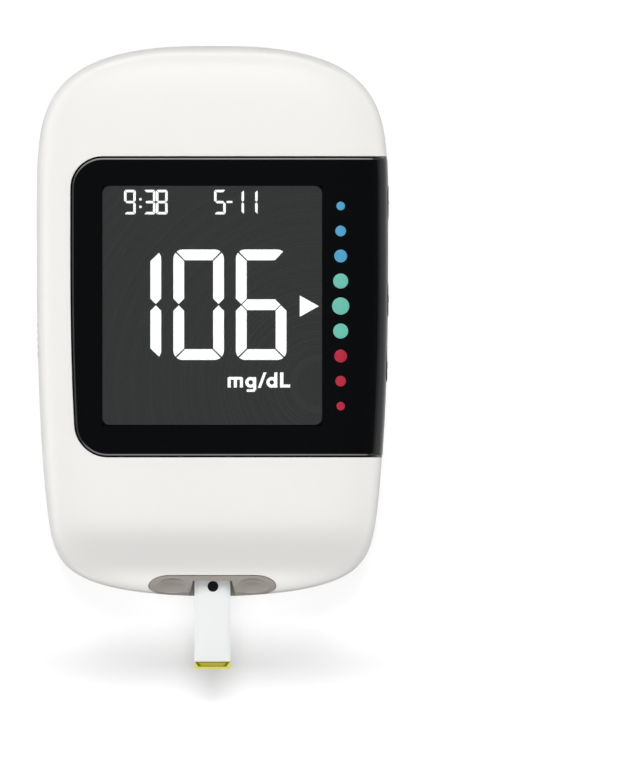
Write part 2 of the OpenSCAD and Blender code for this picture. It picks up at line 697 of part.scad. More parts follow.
// Parts soldered under the board, each by its middle, its footprint and height
mcu = [14.2 - board_x(0), -9];
mcu_w = 9;
buzzer_r = 4.2;
buzzer_h = 2.4;
buzzer_at = [2 - board_x(0) + buzzer_r, -0.5];
module chip(x, y, w, l, t) box(x - w/2, x + w/2, y - l/2, y + l/2, board_z - t, board_z);
module microcontroller() color([0.12, 0.12, 0.13]) chip(mcu[0], mcu[1], mcu_w, mcu_w, 1.1);
module measuring_chip() color([0.15, 0.15, 0.16]) chip(6, shoulder_y - 3, 5, 6, 1);
module radio_module() color(steel) chip(board_x(0) - 12.2, -7, 7, 10, 1.6);
module crystal() color(steel) chip(mcu[0] - mcu_w/2 - 3.5, mcu[1] + 1, 3.2, 1.6, 0.7);
module passives() color([0.70, 0.62, 0.50])
    for (i = [0:5], j = [0, 1])
        chip(mcu[0] - 4 + 1.9*i, mcu[1] - mcu_w/2 - 4.5 - 2.4*j, 1, 0.5, 0.45);
module buzzer() color([0.08, 0.08, 0.08]) difference() {
    rod(buzzer_at, buzzer_r, board_z - buzzer_h, board_z, 64);
    rod(buzzer_at, 0.6, board_z - buzzer_h - cut, board_z - 1.6, 32);
}

// Each button: the cap in its hole, a flange that keeps it in, and the
// plunger of the switch behind it
flange_t = 0.6;
flange_gap = 0.1;
plunger_in = 0.9;
function flange_x(y) = inner_x(y) - flange_gap - flange_t;
function switch_x(y) = flange_x(y) - button_travel - 0.06;
module button(y) color([0.07, 0.075, 0.08]) {
    pill(y, inner_x(y) - flange_gap - button_travel, button_x(y) + button_proud, button_l, button_h);
    pill(y, flange_x(y), flange_x(y) + flange_t, button_l + 0.8, button_h + 0.7);
}
module power_button() button(power_y);
module up_button() button(up_y);
module down_button() button(down_y);
module side_switches() color([0.2, 0.2, 0.22])
    for (y = buttons) difference() {
        box(switch_x(y) - switch_d, switch_x(y), y - 2.2, y + 2.2, board_top, button_z + plunger_r + 0.5);
        translate([switch_x(y) - plunger_in, y, button_z]) rotate([0, 90, 0])
            cylinder(r = plunger_r + 0.05, h = plunger_in + cut, $fn = 32);
    }
// A pressed plunger stops 0.05 short of the bottom of its bore
module plunger(y) color([0.75, 0.2, 0.15]) {
    x0 = switch_x(y) - plunger_in + button_travel + 0.05;
    translate([x0, y, button_z]) rotate([0, 90, 0])
        cylinder(r = plunger_r, h = flange_x(y) - x0, $fn = 32);
}
module power_plunger() plunger(power_y);
module up_plunger() plunger(up_y);
module down_plunger() plunger(down_y);

// Coin cell with its plus can towards the door: a drawn can, a sealing ring
// and the minus cap
can_wall = 0.5;
can_floor = 0.3;
ring_w = 0.7;
cap_r = coin_d/2 - can_wall - ring_w;
module coin_can() color(steel) difference() {
    rod([0, coin_y], coin_d/2, coin_z, coin_z + coin_t - 0.15, 96);
    rod([0, coin_y], coin_d/2 - can_wall, coin_z + can_floor, coin_z + coin_t + cut, 96);
}
module coin_gasket() color([0.3, 0.3, 0.32]) difference() {
    rod([0, coin_y], coin_d/2 - can_wall, coin_z + coin_t - 1.2, coin_z + coin_t - 0.2, 96);
    rod([0, coin_y], cap_r, coin_z, coin_z + coin_t + cut, 96);
}
module coin_cap() color([0.78, 0.79, 0.8]) rod([0, coin_y], cap_r, coin_z + can_floor, coin_z + coin_t, 96);

// Two bent strips of spring metal: one beside the can, one over the cap
contact_w = 4;
contact_t = 0.25;
module contact_positive() color(brass) {
    y = coin_y + coin_d/2 + 0.05;
    box(-contact_w/2, contact_w/2, y, y + contact_t, coin_z + 0.6, board_z);
    box(-contact_w/2, contact_w/2, y, y + 1.4, board_z - contact_t, board_z);
}
module contact_negative() color(brass) translate([1.6, 0, 0]) rotate([0, -90, 0]) linear_extrude(3.2)
    polygon([[board_z, coin_y - 7], [board_z, coin_y - 4], [board_z - 0.2, coin_y - 4],
             [coin_z + coin_t + 0.22, coin_y + 3], [coin_z + coin_t + 0.3, coin_y + 5],
             [coin_z + coin_t + 0.1, coin_y + 5], [coin_z + coin_t + 0.02, coin_y + 3],
             [board_z - 0.42, coin_y - 4.2], [board_z - 0.22, coin_y - 7]]);

// Battery door: a flat lid on two pins, with grip grooves near its free edge,
// and a foam pad that presses on the cell
pin_l = 0.7;
grip_l = 8;
grip_pitch = 1.1;
module battery_door() color(white) difference() {
    union() {
        box(-door_w/2, door_w/2, door_y0, hinge_y, 0, wall);
        translate([-door_w/2, hinge_y, hinge_r]) rotate([0, 90, 0])
            cylinder(r = hinge_r, h = door_w, $fn = 48);
        translate([-door_w/2 - pin_l, hinge_y, hinge_r]) rotate([0, 90, 0])
            cylinder(r = pin_r, h = door_w + 2*pin_l, $fn = 32);
    }
    for (k = [0:3]) let (y = door_y0 + 2.4 + grip_pitch*k)
        box(-grip_l/2, grip_l/2, y, y + 0.5, -cut, 0.3);
}
module door_pad() color([0.25, 0.25, 0.27])
    block(-5, 5, coin_y - 5, coin_y + 5, wall, coin_z - 0.05, 1);

// Strip port: a surround flush with the nose, with a slot, a trough that
// opens towards the nose and a hollow on each side
slot_x = strip_w/2 + strip_gap;
slot_z0 = strip_z - strip_gap;
slot_z1 = strip_z + strip_t + strip_gap;
port_y1 = y_nose + port_d;
hollow_r = 1.35;
hollow_l = 2.55;
hollow_x = port_w - 3.35;
hollow_up = 3.4;
hollow_in = 0.85;
hollow_turn = -38;
module port_surround() color(grey) difference() {
    union() {
        intersection() {
            port_plug();
            translate([0, 0, split_z]) linear_extrude(front_h) polygon(port_outline(0));
        }
        // flange behind the cover's edge, and the web that carries it
        box(-port_w + 2, port_w - 2, port_y1 + 0.55, port_y1 + 2.2, split_z, strip_z + strip_t + 0.8);
        box(-port_w + 4, port_w - 4, port_y1 - 1, port_y1 + 1, split_z, strip_z + strip_t + 0.8);
    }
    box(-slot_x, slot_x, y_nose - cut, y_nose + 9, slot_z0, slot_z1);
    // trough, wider towards the nose
    translate([0, 0, slot_z0]) linear_extrude(front_h)
        polygon([[-strip_w/2 - 0.2, port_y1 - port_rim], [strip_w/2 + 0.2, port_y1 - port_rim],
                 [strip_w/2 + 1.1, y_nose - 1], [-strip_w/2 - 1.1, y_nose - 1]]);
    for (s = [-1, 1]) translate([s*hollow_x, y_nose + hollow_in, split_z + hollow_up])
        rotate([hollow_turn, 0, 0]) rotate([0, 90, 0]) rotate_extrude($fn = 48) intersection() {
            polygon([for (a = [-90:10:90]) [hollow_r*cos(a), hollow_l*sin(a)]]);
            translate([0, -hollow_l - 1]) square([hollow_r + 1, 2*hollow_l + 2]);
        }
}
// Nose end of the front as one solid down to the parting line, lying
// plug_low below the cover's surface
plug_low = 0.03;
plug_steps = 14;
plug_half_steps = 8;
module port_plug() {
    ya = [for (i = [0:plug_steps]) y_nose + (port_d + 1.5)*pow(i/plug_steps, 1.8) + 0.002];
    w = 2*plug_half_steps + 1;
    n = len(ya);
    function plug_x(y, j) = min(half(y, 0), port_w + 1)*sin(90*(j - plug_half_steps)/plug_half_steps);
    pts = concat([for (y = ya, j = [0:w - 1]) [plug_x(y, j), y, front(plug_x(y, j), y) - plug_low]],
                 [for (y = ya, j = [0:w - 1]) [plug_x(y, j), y, split_z - cut]]);
    h = n*w;
    polyhedron(points = pts, faces = concat(
        [for (i = [0:n - 2], j = [0:w - 2], k = [0:3])
            let (a = i*w + j, b = a + 1, c = b + w, d = a + w)
            k == 0 ? [a, c, b] : k == 1 ? [a, d, c]
            : k == 2 ? [b + h, c + h, a + h] : [c + h, d + h, a + h]],
        [for (i = [0:n - 2], k = [0:3]) let (a = i*w, d = a + w, p = a + w - 1, q = d + w - 1)
            k == 0 ? [a, a + h, d + h] : k == 1 ? [a, d + h, d]
            : k == 2 ? [p, q, q + h] : [p, q + h, p + h]],
        [for (j = [0:w - 2], k = [0:3]) let (a = j, b = j + 1, p = (n - 1)*w + j, q = p + 1)
            k == 0 ? [a, b, b + h] : k == 1 ? [a, b + h, a + h]
            : k == 2 ? [q, p, p + h] : [q, p + h, q + h]]));
}

// Connector behind the port, with three spring leaves from its roof down to
// just above the strip
conn_y0 = port_y1 + 2.4;
conn_y1 = arm_y0 - eject_travel - arm_gap;
conn_top = strip_z + strip_t + 1.3;
tracks = [-1.6, 0, 1.6];
module strip_connector() color([0.90, 0.89, 0.85]) difference() {
    box(-strip_w/2 - 2.2, strip_w/2 + 2.2, conn_y0, conn_y1, board_top, conn_top);
    box(-slot_x, slot_x, conn_y0 - cut, conn_y1 + cut, slot_z0, slot_z1);
    for (x = tracks) box(x - 0.45, x + 0.45, conn_y0 + 1.2, conn_y1 + cut, strip_z, conn_top - 0.4);
}
module strip_contacts() color(brass)
    for (x = tracks) translate([x + 0.3, 0, 0]) rotate([0, -90, 0]) linear_extrude(0.6)
        polygon([[conn_top - 0.4, conn_y1 - 0.1], [conn_top - 0.4, conn_y1 - 1.4],
                 [strip_z + strip_t + 0.3, conn_y0 + 2.2], [strip_z + strip_t + 0.4, conn_y0 + 1.5],
                 [strip_z + strip_t + 0.2, conn_y0 + 1.5], [strip_z + strip_t + 0.04, conn_y0 + 2.2],
                 [conn_top - 0.6, conn_y1 - 1.5], [conn_top - 0.6, conn_y1 - 0.1]]);

// Thumb piece with grip grooves, and the carriage behind it: a shutter that
// closes the slot, two ties to the rail, the arm and the finger
thumb_proud = 0.06;
finger_w = 2.8;
finger_gap = 0.05;
module ejector_thumb() color(white) difference() {
    box(thumb_x - thumb_proud, shutter_x, thumb_y - thumb_l/2, thumb_y + thumb_l/2,
        thumb_z - thumb_h/2, thumb_z + thumb_h/2);
    for (k = [-3:3]) box(thumb_x - cut, thumb_x + 0.25, thumb_y + k - 0.25, thumb_y + k + 0.25,
                         thumb_z - thumb_h, thumb_z + thumb_h);
}
module ejector_carriage() color([0.88, 0.88, 0.86]) {
    box(shutter_x, shutter_x + shutter_t, shutter_y0, shutter_y1, rail_z, shutter_z);
    box(shutter_x + 0.5, rail_x1, spring_y1, spring_y1 + 1, rail_z, shutter_z);
    box(shutter_x + 0.5, rail_x1, shutter_y1 - 1, shutter_y1, rail_z, rail_z + rail_t);
    box(rail_x0, rail_x1, arm_y0, shutter_y1, rail_z, rail_z + rail_t);
    box(rail_x0, finger_w/2, arm_y0, arm_y1, rail_z, rail_z + rail_t);
    box(-finger_w/2, finger_w/2, arm_y0, arm_y1, rail_z, strip_z + strip_t - finger_gap);
    box(-finger_w/2, finger_w/2, strip_y1, arm_y1, strip_z + finger_gap, strip_z + strip_t - finger_gap);
}

// Return spring: one closed wire that follows a helix along Y
module ejector_spring() color(steel) {
    turn_steps = 14;
    seg = turn_steps*spring_turns;
    ring = 6;
    pts = [for (i = [0:seg], k = [0:ring - 1]) let (a = 360*i/turn_steps, b = 360*k/ring,
            r = spring_r + spring_wire*cos(b))
        [spring_x + r*cos(a), spring_y0 + 0.2 + (spring_l - 0.4)*i/seg + spring_wire*sin(b),
         spring_z + r*sin(a)]];
    n = len(pts);
    polyhedron(points = pts, faces = concat(
        [for (i = [0:seg - 1], k = [0:ring - 1], q = [0, 1])
            let (a = i*ring + k, b = i*ring + (k + 1) % ring, c = b + ring, d = a + ring)
            q == 0 ? [c, b, a] : [d, c, a]],
        [[for (k = [0:ring - 1]) k]], [[for (k = [ring - 1:-1:0]) n - ring + k]]));
}

// Charging socket: a folded steel shell with its tongue
shell_t = 0.3;
tongue_w = 3.8;
module socket_shell() color(steel) difference() {
    tube_block(socket_w/2, socket_y0, socket_y1, socket_z, socket_z + socket_h, 0.5);
    tube_block(socket_w/2 - shell_t, socket_y0 + 0.4, socket_y1 + cut,
               socket_z + shell_t, socket_z + socket_h - shell_t, 0.3);
}
// Block with round edges that run along Y
module tube_block(hw, y0, y1, z0, z1, r) {
    box(-hw + r, hw - r, y0, y1, z0, z1);
    box(-hw, hw, y0, y1, z0 + r, z1 - r);
    for (x = [-hw + r, hw - r], z = [z0 + r, z1 - r])
        translate([x, y1, z]) rotate([90, 0, 0]) cylinder(r = r, h = y1 - y0, $fn = 32);
}
module socket_tongue() color([0.1, 0.1, 0.1])
    box(-tongue_w/2, tongue_w/2, socket_y0 + 0.4, socket_y1 - 0.6, socket_z + 1.3, socket_z + 1.8);

// Cross-head screws of the case, and the flat-head ones of the board
recess_w = 0.32;
module screw(r, h) {
    difference() {
        cylinder(r = head_r, h = head_h, $fn = 40);
        for (a = [0, 90]) rotate([0, 0, a])
            translate([-1.5*r, -recess_w/2, -0.1]) cube([3*r, recess_w, 0.6]);
    }
    translate([0, 0, head_h - eps]) cylinder(r = r, h = h - head_h, $fn = 32);
}
module case_screws() color(steel)
    for (s = case_spots) translate([s[0], s[1], sink_z - head_h])
        screw(screw_r - 0.02, screw_top - sink_z + head_h);
board_head_h = 0.7;
module board_screws() color(steel) for (s = board_spots) {
    rod(s, board_boss_r - 0.4, board_top, board_top + board_head_h, 32);
    rod(s, board_pilot_r - 0.02, board_top - board_t - 2.6, board_top + eps, 32);
}
module back_label() color([0.78, 0.79, 0.8])
    block(-label_w/2, label_w/2, label_y0, label_y1, label_deep - label_t, label_deep, label_r - 0.1);

// Test strip: white base, electrodes, cover film, yellow tip and round mark
base_t = strip_t*0.6;
film_l = 8.2;
tip_rim = 0.6;
mark_r = 0.75;
mark_t = 0.03;
module strip_base() color([0.94, 0.95, 0.97])
    box(-strip_w/2, strip_w/2, strip_y0 + tip_l, strip_y1, strip_z, strip_z + base_t);
module strip_electrodes() color([0.2, 0.2, 0.2])
    for (x = tracks) box(x - 0.5, x + 0.5, strip_y1 - film_l + 0.2, strip_y1 - 0.4,
                         strip_z + base_t, strip_z + strip_t - 0.03);
module strip_cover() color([0.93, 0.95, 0.96])
    box(-strip_w/2, strip_w/2, strip_y0 + tip_l, strip_y1 - film_l, strip_z + base_t, strip_z + strip_t);
module strip_tip() color([0.87, 0.83, 0.20]) difference() {
    box(-strip_w/2, strip_w/2, strip_y0, strip_y0 + tip_l, strip_z, strip_z + strip_t);
    box(-strip_w/2 + tip_rim, strip_w/2 - tip_rim, strip_y0 + 0.3, strip_y0 + tip_l - 0.12,
        strip_z + strip_t - 0.12, strip_z + cut);
}
module strip_mark() color([0.06, 0.06, 0.07])
    rod([0.08, y_nose + 1.5], mark_r, strip_z + strip_t, strip_z + strip_t + mark_t, 48);

front_cover();
rear_cover();
display_window();
display_lens();
range_dots();
lcd_polariser();
lcd_front_glass();
lcd_digits();
lcd_rear_glass();
lcd_holder();
backlight_guide();
backlight_leds();
zebra_strip();
main_board();
microcontroller();
measuring_chip();
radio_module();
crystal();
passives();
buzzer();
side_switches();
power_button();
up_button();
down_button();
power_plunger();
up_plunger();
down_plunger();
contact_positive();
contact_negative();
coin_can();
coin_gasket();
coin_cap();
battery_door();
door_pad();
port_surround();
strip_connector();
strip_contacts();
ejector_thumb();
ejector_carriage();
ejector_spring();
socket_shell();
socket_tongue();
case_screws();
board_screws();
back_label();
strip_base();
strip_electrodes();
strip_cover();
strip_tip();
strip_mark();
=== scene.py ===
"""Looks of a pocket blood glucose meter that lies on its back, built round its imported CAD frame."""

import json
import math

import bmesh
import bpy
import numpy as np
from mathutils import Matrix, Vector


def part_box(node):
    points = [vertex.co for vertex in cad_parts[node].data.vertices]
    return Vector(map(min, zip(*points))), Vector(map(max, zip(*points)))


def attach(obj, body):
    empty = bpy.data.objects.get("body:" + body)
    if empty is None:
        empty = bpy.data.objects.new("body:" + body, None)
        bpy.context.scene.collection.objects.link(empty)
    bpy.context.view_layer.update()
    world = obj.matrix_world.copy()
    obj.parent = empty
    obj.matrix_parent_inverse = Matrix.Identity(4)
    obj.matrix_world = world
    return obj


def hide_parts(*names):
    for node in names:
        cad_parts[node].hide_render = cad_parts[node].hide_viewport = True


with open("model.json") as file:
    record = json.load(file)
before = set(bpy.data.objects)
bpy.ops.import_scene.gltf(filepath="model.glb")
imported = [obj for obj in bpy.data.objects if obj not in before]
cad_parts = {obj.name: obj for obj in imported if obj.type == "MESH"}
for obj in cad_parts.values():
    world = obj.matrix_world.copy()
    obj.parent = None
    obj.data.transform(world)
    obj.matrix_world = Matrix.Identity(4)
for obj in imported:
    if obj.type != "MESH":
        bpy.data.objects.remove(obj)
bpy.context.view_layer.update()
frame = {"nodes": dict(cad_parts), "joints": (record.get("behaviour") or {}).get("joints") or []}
nodes = frame["nodes"]

# ---------------------------------------------------------------------------
# Front cover: the white upper half of the case, injection moulded with a fine
# satin texture, 1.5 mm thick. It snaps and screws to the rear cover at the
# parting line, and carries the window in a shallow seat.
# ---------------------------------------------------------------------------
mm = 0.001
low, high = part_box("rear_cover")
body_w = (high.x - low.x)/mm
y_top, y_nose = high.y/mm - 0.07, low.y/mm + 0.12
split_z, front_h = high.z/mm, 8.0
front_z = split_z + front_h
wall = 1.5
wide_y = 11.4
edge_n = 5
top_m, top_n, nose_m = 4.94, 2.575, 21
taper, taper_pow = 0.1226, 2.63
roll_top, roll_nose, roll_back = 5.0, 4.2, 7.0
lip_depth, lip_in, lip_l = 2.7, 3.4, 4


def way(y, g):
    """Share of the way from the widest line to the end, for a body shrunk by g."""
    share = np.where(y >= wide_y, (y - wide_y)/(y_top - g - wide_y), (wide_y - y)/(wide_y - y_nose - g))
    return np.clip(share, 0, 1)


def half(y, g=0.0):
    """Half width at y: the full half width times one superellipse above the widest line, and times
    a slow taper and a squarer superellipse below it."""
    t = way(y, g)
    upper = (1 - t**top_m)**(1/top_n)
    lower = (1 - taper*t**taper_pow)*np.sqrt(1 - t**nose_m)
    return (body_w/2 - g)*np.where(y >= wide_y, upper, lower)


def roll(y, g=0.0, nose=roll_nose):
    """Share of the full height at y: the surface rolls down to the parting line at both ends."""
    t = way(y, g)
    k = np.where(y >= wide_y, roll_top, nose)
    return (1 - t**k)**(1/k)


def crown(y, g=0.0):
    """Height of the front's middle line over the parting line. A bell curve is taken off it near the
    nose, which leaves a shallow lip there. It takes less off a surface that lies deeper."""
    lip = (lip_depth - g/2)*np.exp(-((y - y_nose - lip_in)/lip_l)**2)
    return np.maximum((front_h - g)*roll(y, g) - lip, 1e-6)


def flank(y, g):
    """Half width of a surface g below the front: a proud one (g under 0) stands out by a fifth of it."""
    return half(y, g if g > 0 else g/5)


def round_share(a):
    """Across and up shares of a superellipse of power edge_n, in polar form, at angle a."""
    far = (np.abs(np.cos(a))**edge_n + np.abs(np.sin(a))**edge_n)**(-1/edge_n)
    return np.cos(a)*far, np.sin(a)*far


def front(x, y, g=0.0):
    """Height of the front surface over a point of the plan, g below the outer one."""
    share = np.clip(np.abs(x)/np.maximum(flank(y, g), 1e-6), 0, 1)
    return split_z + crown(y, g)*(1 - share**edge_n)**(1/edge_n)


def body_rows(g, nose_steps=70, top_steps=46):
    """Lines across the body from nose to top, their spacing shrinking as a power towards both ends."""
    s = np.linspace(1, 0, nose_steps + 1)[:-1]
    t = np.linspace(0, 1, top_steps + 1)
    return np.concatenate([wide_y - (wide_y - y_nose - g)*(1 - (1 - s)**2.1),
                           wide_y + (y_top - g - wide_y)*(1 - (1 - t)**2.1)])


def shell_surface(g, side, steps, low_z=None, height=0.0):
    """One skin of a cover: at each line, a superellipse hoop from the right edge to the left one.
    The rear one is cut flat at low_z, and the cut is a line of the grid."""
    y = body_rows(g)[:, None]
    rise = crown(y, g) if side > 0 else np.maximum((height - g)*roll(y, g, roll_back), 1e-6)
    if low_z is None:
        angle = np.broadcast_to(np.linspace(0, math.pi, steps + 1), (len(y), steps + 1))
        across, up = round_share(angle)
    else:
        cut = np.clip((split_z - low_z)/rise, 0, 1)
        corner = np.arctan2(cut, (1 - cut**edge_n)**(1/edge_n))
        s = np.linspace(0, 1, steps//3 + 1)
        across_rise, up_rise = round_share(corner*s)
        flat = across_rise[:, -1:]*np.linspace(1, -1, steps//3 + 1)[1:-1]
        across = np.hstack([across_rise, flat, -across_rise[:, ::-1]])
        up = np.hstack([up_rise, np.broadcast_to(cut, flat.shape), up_rise[:, ::-1]])
    x = half(y, g)*across
    return np.stack([x, np.broadcast_to(y, x.shape), split_z + side*rise*up], axis=-1)


def build(name, grids, sharp=38):
    """A mesh of quads from grids of points in millimetres. Points that coincide are merged, which
    closes seams and poles, then all faces are turned outwards and smoothed below the sharp angle."""
    points, quads, start = [], [], 0
    for grid in grids:
        rows, cols = grid.shape[:2]
        index = start + np.arange(rows*cols).reshape(rows, cols)
        quads.append(np.stack([index[:-1, :-1], index[:-1, 1:], index[1:, 1:], index[1:, :-1]],
                              -1).reshape(-1, 4))
        points.append(grid.reshape(-1, 3)*mm)
        start += rows*cols
    mesh = bpy.data.meshes.new(name)
    mesh.from_pydata(np.concatenate(points), [], np.concatenate(quads))
    work = bmesh.new()
    work.from_mesh(mesh)
    bmesh.ops.remove_doubles(work, verts=work.verts, dist=1e-7)
    bmesh.ops.dissolve_degenerate(work, edges=work.edges, dist=1e-8)
    bmesh.ops.recalc_face_normals(work, faces=work.faces)
    work.to_mesh(mesh)
    work.free()
    piece = bpy.data.objects.new(name, mesh)
    bpy.context.scene.collection.objects.link(piece)
    mesh.shade_smooth()
    mesh.set_sharp_from_angle(angle=math.radians(sharp))
    return piece


def border(grid):
    """The closed line of points round the edge of a grid."""
    return np.concatenate([grid[0, :-1], grid[:-1, -1], grid[-1, :0:-1], grid[::-1, 0]])


def open_up(piece, cutters, sharp=38, kind="DIFFERENCE"):
    """Cuts each closed cutter out of the piece (or keeps what they share) and smooths it again."""
    for cutter in cutters:
        step = piece.modifiers.new("opening", "BOOLEAN")
        step.operation, step.solver, step.object = kind, "EXACT", cutter
    bpy.context.view_layer.update()
    seen = piece.evaluated_get(bpy.context.evaluated_depsgraph_get())
    mesh = bpy.data.meshes.new_from_object(seen)
    piece.modifiers.clear()
    old, piece.data = piece.data, mesh
    bpy.data.meshes.remove(old)
    mesh.name = piece.name
    for cutter in cutters:
        bpy.data.meshes.remove(cutter.data)
    mesh.shade_smooth()
    mesh.set_sharp_from_angle(angle=math.radians(sharp))
    return piece


def rounded_plan(x0, x1, y0, y1, r, steps=8):
    """Plan of a rectangle with quarter circles of radius r at its corners, as a closed line."""
    a = np.linspace(0, math.pi/2, steps + 1)
    corners = [(x1 - r, y1 - r, 0), (x0 + r, y1 - r, 1), (x0 + r, y0 + r, 2), (x1 - r, y0 + r, 3)]
    line = [np.stack([cx + r*np.cos(a + k*math.pi/2), cy + r*np.sin(a + k*math.pi/2)], -1)
            for cx, cy, k in corners]
    line = np.concatenate(line)
    return np.vstack([line, line[:1]])


def prism(name, plan, z0, z1):
    """A closed line of the plan pushed from z0 to z1, its two ends closed to their middle."""
    middle = plan[:-1].mean(0)
    rings = [np.broadcast_to(middle, plan.shape), plan, plan, np.broadcast_to(middle, plan.shape)]
    heights = (z0, z0, z1, z1)
    return build(name, [np.stack([np.column_stack([ring, np.full(len(plan), z)])
                                  for ring, z in zip(rings, heights)])])


def turned(profile, steps=96, middle=(0.0, 0.0)):
    """A profile of (radius, height) points turned about an upright axis."""
    a = np.linspace(0, 2*math.pi, steps + 1)
    r, z = np.array(profile, float).T
    return np.stack([middle[0] + r[:, None]*np.cos(a), middle[1] + r[:, None]*np.sin(a),
                     np.broadcast_to(z[:, None], (len(r), steps + 1))], -1)


# The window's seat and everything that opens the front cover
window_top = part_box("display_window")[1].y/mm
window_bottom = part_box("display_window")[0].y/mm
window_inset, window_r = 4.9, 4.2
window_t, window_proud, window_gap = 1.1, 0.3, 0.2
view_low, view_high = (np.array(p)/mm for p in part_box("display_lens"))
buttons = [(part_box(n)[0].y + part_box(n)[1].y)/2/mm for n in ("power_button", "up_button", "down_button")]
button_z = (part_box("power_button")[0].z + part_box("power_button")[1].z)/2/mm
button_l, button_h, button_gap = 5.0, 2.6, 0.15


def window_sheet(g, grow, drop=0.0):
    """The window's surface, g below the front and grow wider than its plan: from a left edge with
    round corners, over the view, and down the right flank to the parting line."""
    r, t, b = window_r + grow, window_top + grow, window_bottom - grow
    ease = 1 - np.cos(np.linspace(0, math.pi/2, 19))
    y = np.concatenate([b + (view_low[1] - b)*ease, np.linspace(view_low[1], view_high[1], 61)[1:-1],
                        (t - (t - view_high[1])*ease)[::-1]])[:, None]
    reach = np.minimum(np.minimum(t - y, y - b), r)
    left = -(half(y) - window_inset + grow) + r - np.sqrt(np.maximum(0, r*r - (r - reach)**2))
    start = np.maximum(view_low[0], left + 0.5)
    x = np.hstack([left + (start - left)*np.linspace(0, 1, 15)[:-1],
                   start + (view_high[0] - start)*np.linspace(0, 1, 41)])
    z = front(x, y, g)
    rise = crown(y, g)
    share = view_high[0]/flank(y, g)
    start = np.arctan2((1 - share**edge_n)**(1/edge_n), share)
    up_end = max(0.0, -grow)/rise
    end = np.arctan2(up_end, (1 - up_end**edge_n)**(1/edge_n))
    across, up = round_share(start + (end - start)*np.linspace(0, 1, 45)[1:])
    x = np.hstack([x, flank(y, g)*across])
    z = np.hstack([z, split_z + rise*up])
    if drop:
        x = np.hstack([x, x[:, -1:]])
        z = np.hstack([z, z[:, -1:] - drop])
    return np.stack([x, np.broadcast_to(y, x.shape), z], -1)


def pill_plan(length, height, steps=14):
    """Plan of a pill lying along Y at its own middle, as a closed line of (y, z) points."""
    a = np.linspace(-math.pi/2, math.pi/2, steps + 1)
    s = max(length - height, 0)/2
    ends = [np.stack([s + height/2*np.cos(a), height/2*np.sin(a)], -1),
            np.stack([-s - height/2*np.cos(a), -height/2*np.sin(a)], -1)]
    line = np.concatenate(ends)
    return np.vstack([line, line[:1]])


def pill_solid(y, profile):
    """Pills of the side buttons' plan, grown by the second value of each profile pair, standing at
    its first value along X. The first and last are closed to the middle line."""
    pills = []
    for x, grow in profile:
        line = pill_plan(max(button_l + 2*grow, 0.001), max(button_h + 2*grow, 0.0))
        if grow <= -button_h/2:
            line = pill_plan(button_l - button_h, 0.0)
        pills.append(np.column_stack([np.full(len(line), x), y + line[:, 0], button_z + line[:, 1]]))
    return np.stack(pills)


def pill_cutter(y, x0, x1, grow):
    """A closed pill from x0 to x1, grown beyond the buttons' plan, that opens a button's way."""
    return build("cutter", [pill_solid(y, [(x0, -button_h/2), (x0, grow), (x1, grow), (x1, -button_h/2)])])


def seat_cutter():
    """Room of the window: its whole plan, from above the front down to its seat."""
    top = window_sheet(-1.5, window_gap, 1)
    floor = window_sheet(window_t - window_proud + 0.05, window_gap, 1)
    return build("cutter", [top, floor, np.stack([border(top), border(floor)])])


port_half, port_deep = 8.85, 2.96
port_y = y_nose + 1.42


def port_plan(grow, steps=40):
    """Plan of the strip port: a straight upper edge with an elliptical end on each side, and a lower
    ellipse that passes the nose, grown outwards, as a closed line."""
    a = np.linspace(0, math.pi, steps + 1)
    end_l = 3.0
    upper = np.stack([np.sign(np.cos(a))*(port_half - end_l) + (end_l + grow)*np.cos(a),
                      port_y + (port_deep/2 + grow)*np.sin(a)], -1)
    lower = np.stack([(port_half + grow)*np.cos(a + math.pi),
                      port_y + (port_deep/2 + 0.45 + grow)*np.sin(a + math.pi)], -1)
    return np.vstack([upper, lower[1:]])


def hem(sheet):
    """Both long edges of a cover's skin, one after the other, as the closed line of its rim."""
    return np.concatenate([sheet[:, 0], sheet[::-1, -1]])


def moulded_plastic(name, colour, rough, grain, relief, drift=0.02, shine=0.5):
    """Moulded plastic: the colour drifts slowly by a small share, and a fine grain of the given size
    in mm sets the relief and a little of the roughness."""
    material = bpy.data.materials.new(name)
    material.use_nodes = True
    tree = material.node_tree
    skin = tree.nodes["Principled BSDF"]
    skin.inputs["Specular IOR Level"].default_value = shine
    where = tree.nodes.new("ShaderNodeTexCoord")
    slow, fine = tree.nodes.new("ShaderNodeTexNoise"), tree.nodes.new("ShaderNodeTexNoise")
    slow.inputs["Scale"].default_value, slow.inputs["Detail"].default_value = 60, 3
    fine.inputs["Scale"].default_value, fine.inputs["Detail"].default_value = 1/(grain*mm), 3
    mix = tree.nodes.new("ShaderNodeMix")
    mix.data_type = "RGBA"
    mix.inputs["A"].default_value = (*[c*(1 - drift) for c in colour], 1)
    mix.inputs["B"].default_value = (*[min(1, c*(1 + drift)) for c in colour], 1)
    spread = tree.nodes.new("ShaderNodeMapRange")
    spread.inputs["From Min"].default_value, spread.inputs["From Max"].default_value = 0.3, 0.7
    spread.inputs["To Min"].default_value = max(0.02, rough - 0.05)
    spread.inputs["To Max"].default_value = rough + 0.05
    bump = tree.nodes.new("ShaderNodeBump")
    bump.inputs["Strength"].default_value = 1
    bump.inputs["Distance"].default_value = relief*mm
    link = tree.links.new
    link(where.outputs["Object"], slow.inputs["Vector"])
    link(where.outputs["Object"], fine.inputs["Vector"])
    link(slow.outputs["Fac"], mix.inputs["Factor"])
    link(mix.outputs["Result"], skin.inputs["Base Color"])
    link(fine.outputs["Fac"], spread.inputs["Value"])
    link(spread.outputs["Result"], skin.inputs["Roughness"])
    link(fine.outputs["Fac"], bump.inputs["Height"])
    link(bump.outputs["Normal"], skin.inputs["Normal"])
    return material


def coat(piece, material):
    """Gives a piece or a frame node one finish."""
    piece.data.materials.clear()
    piece.data.materials.append(material)
    return piece


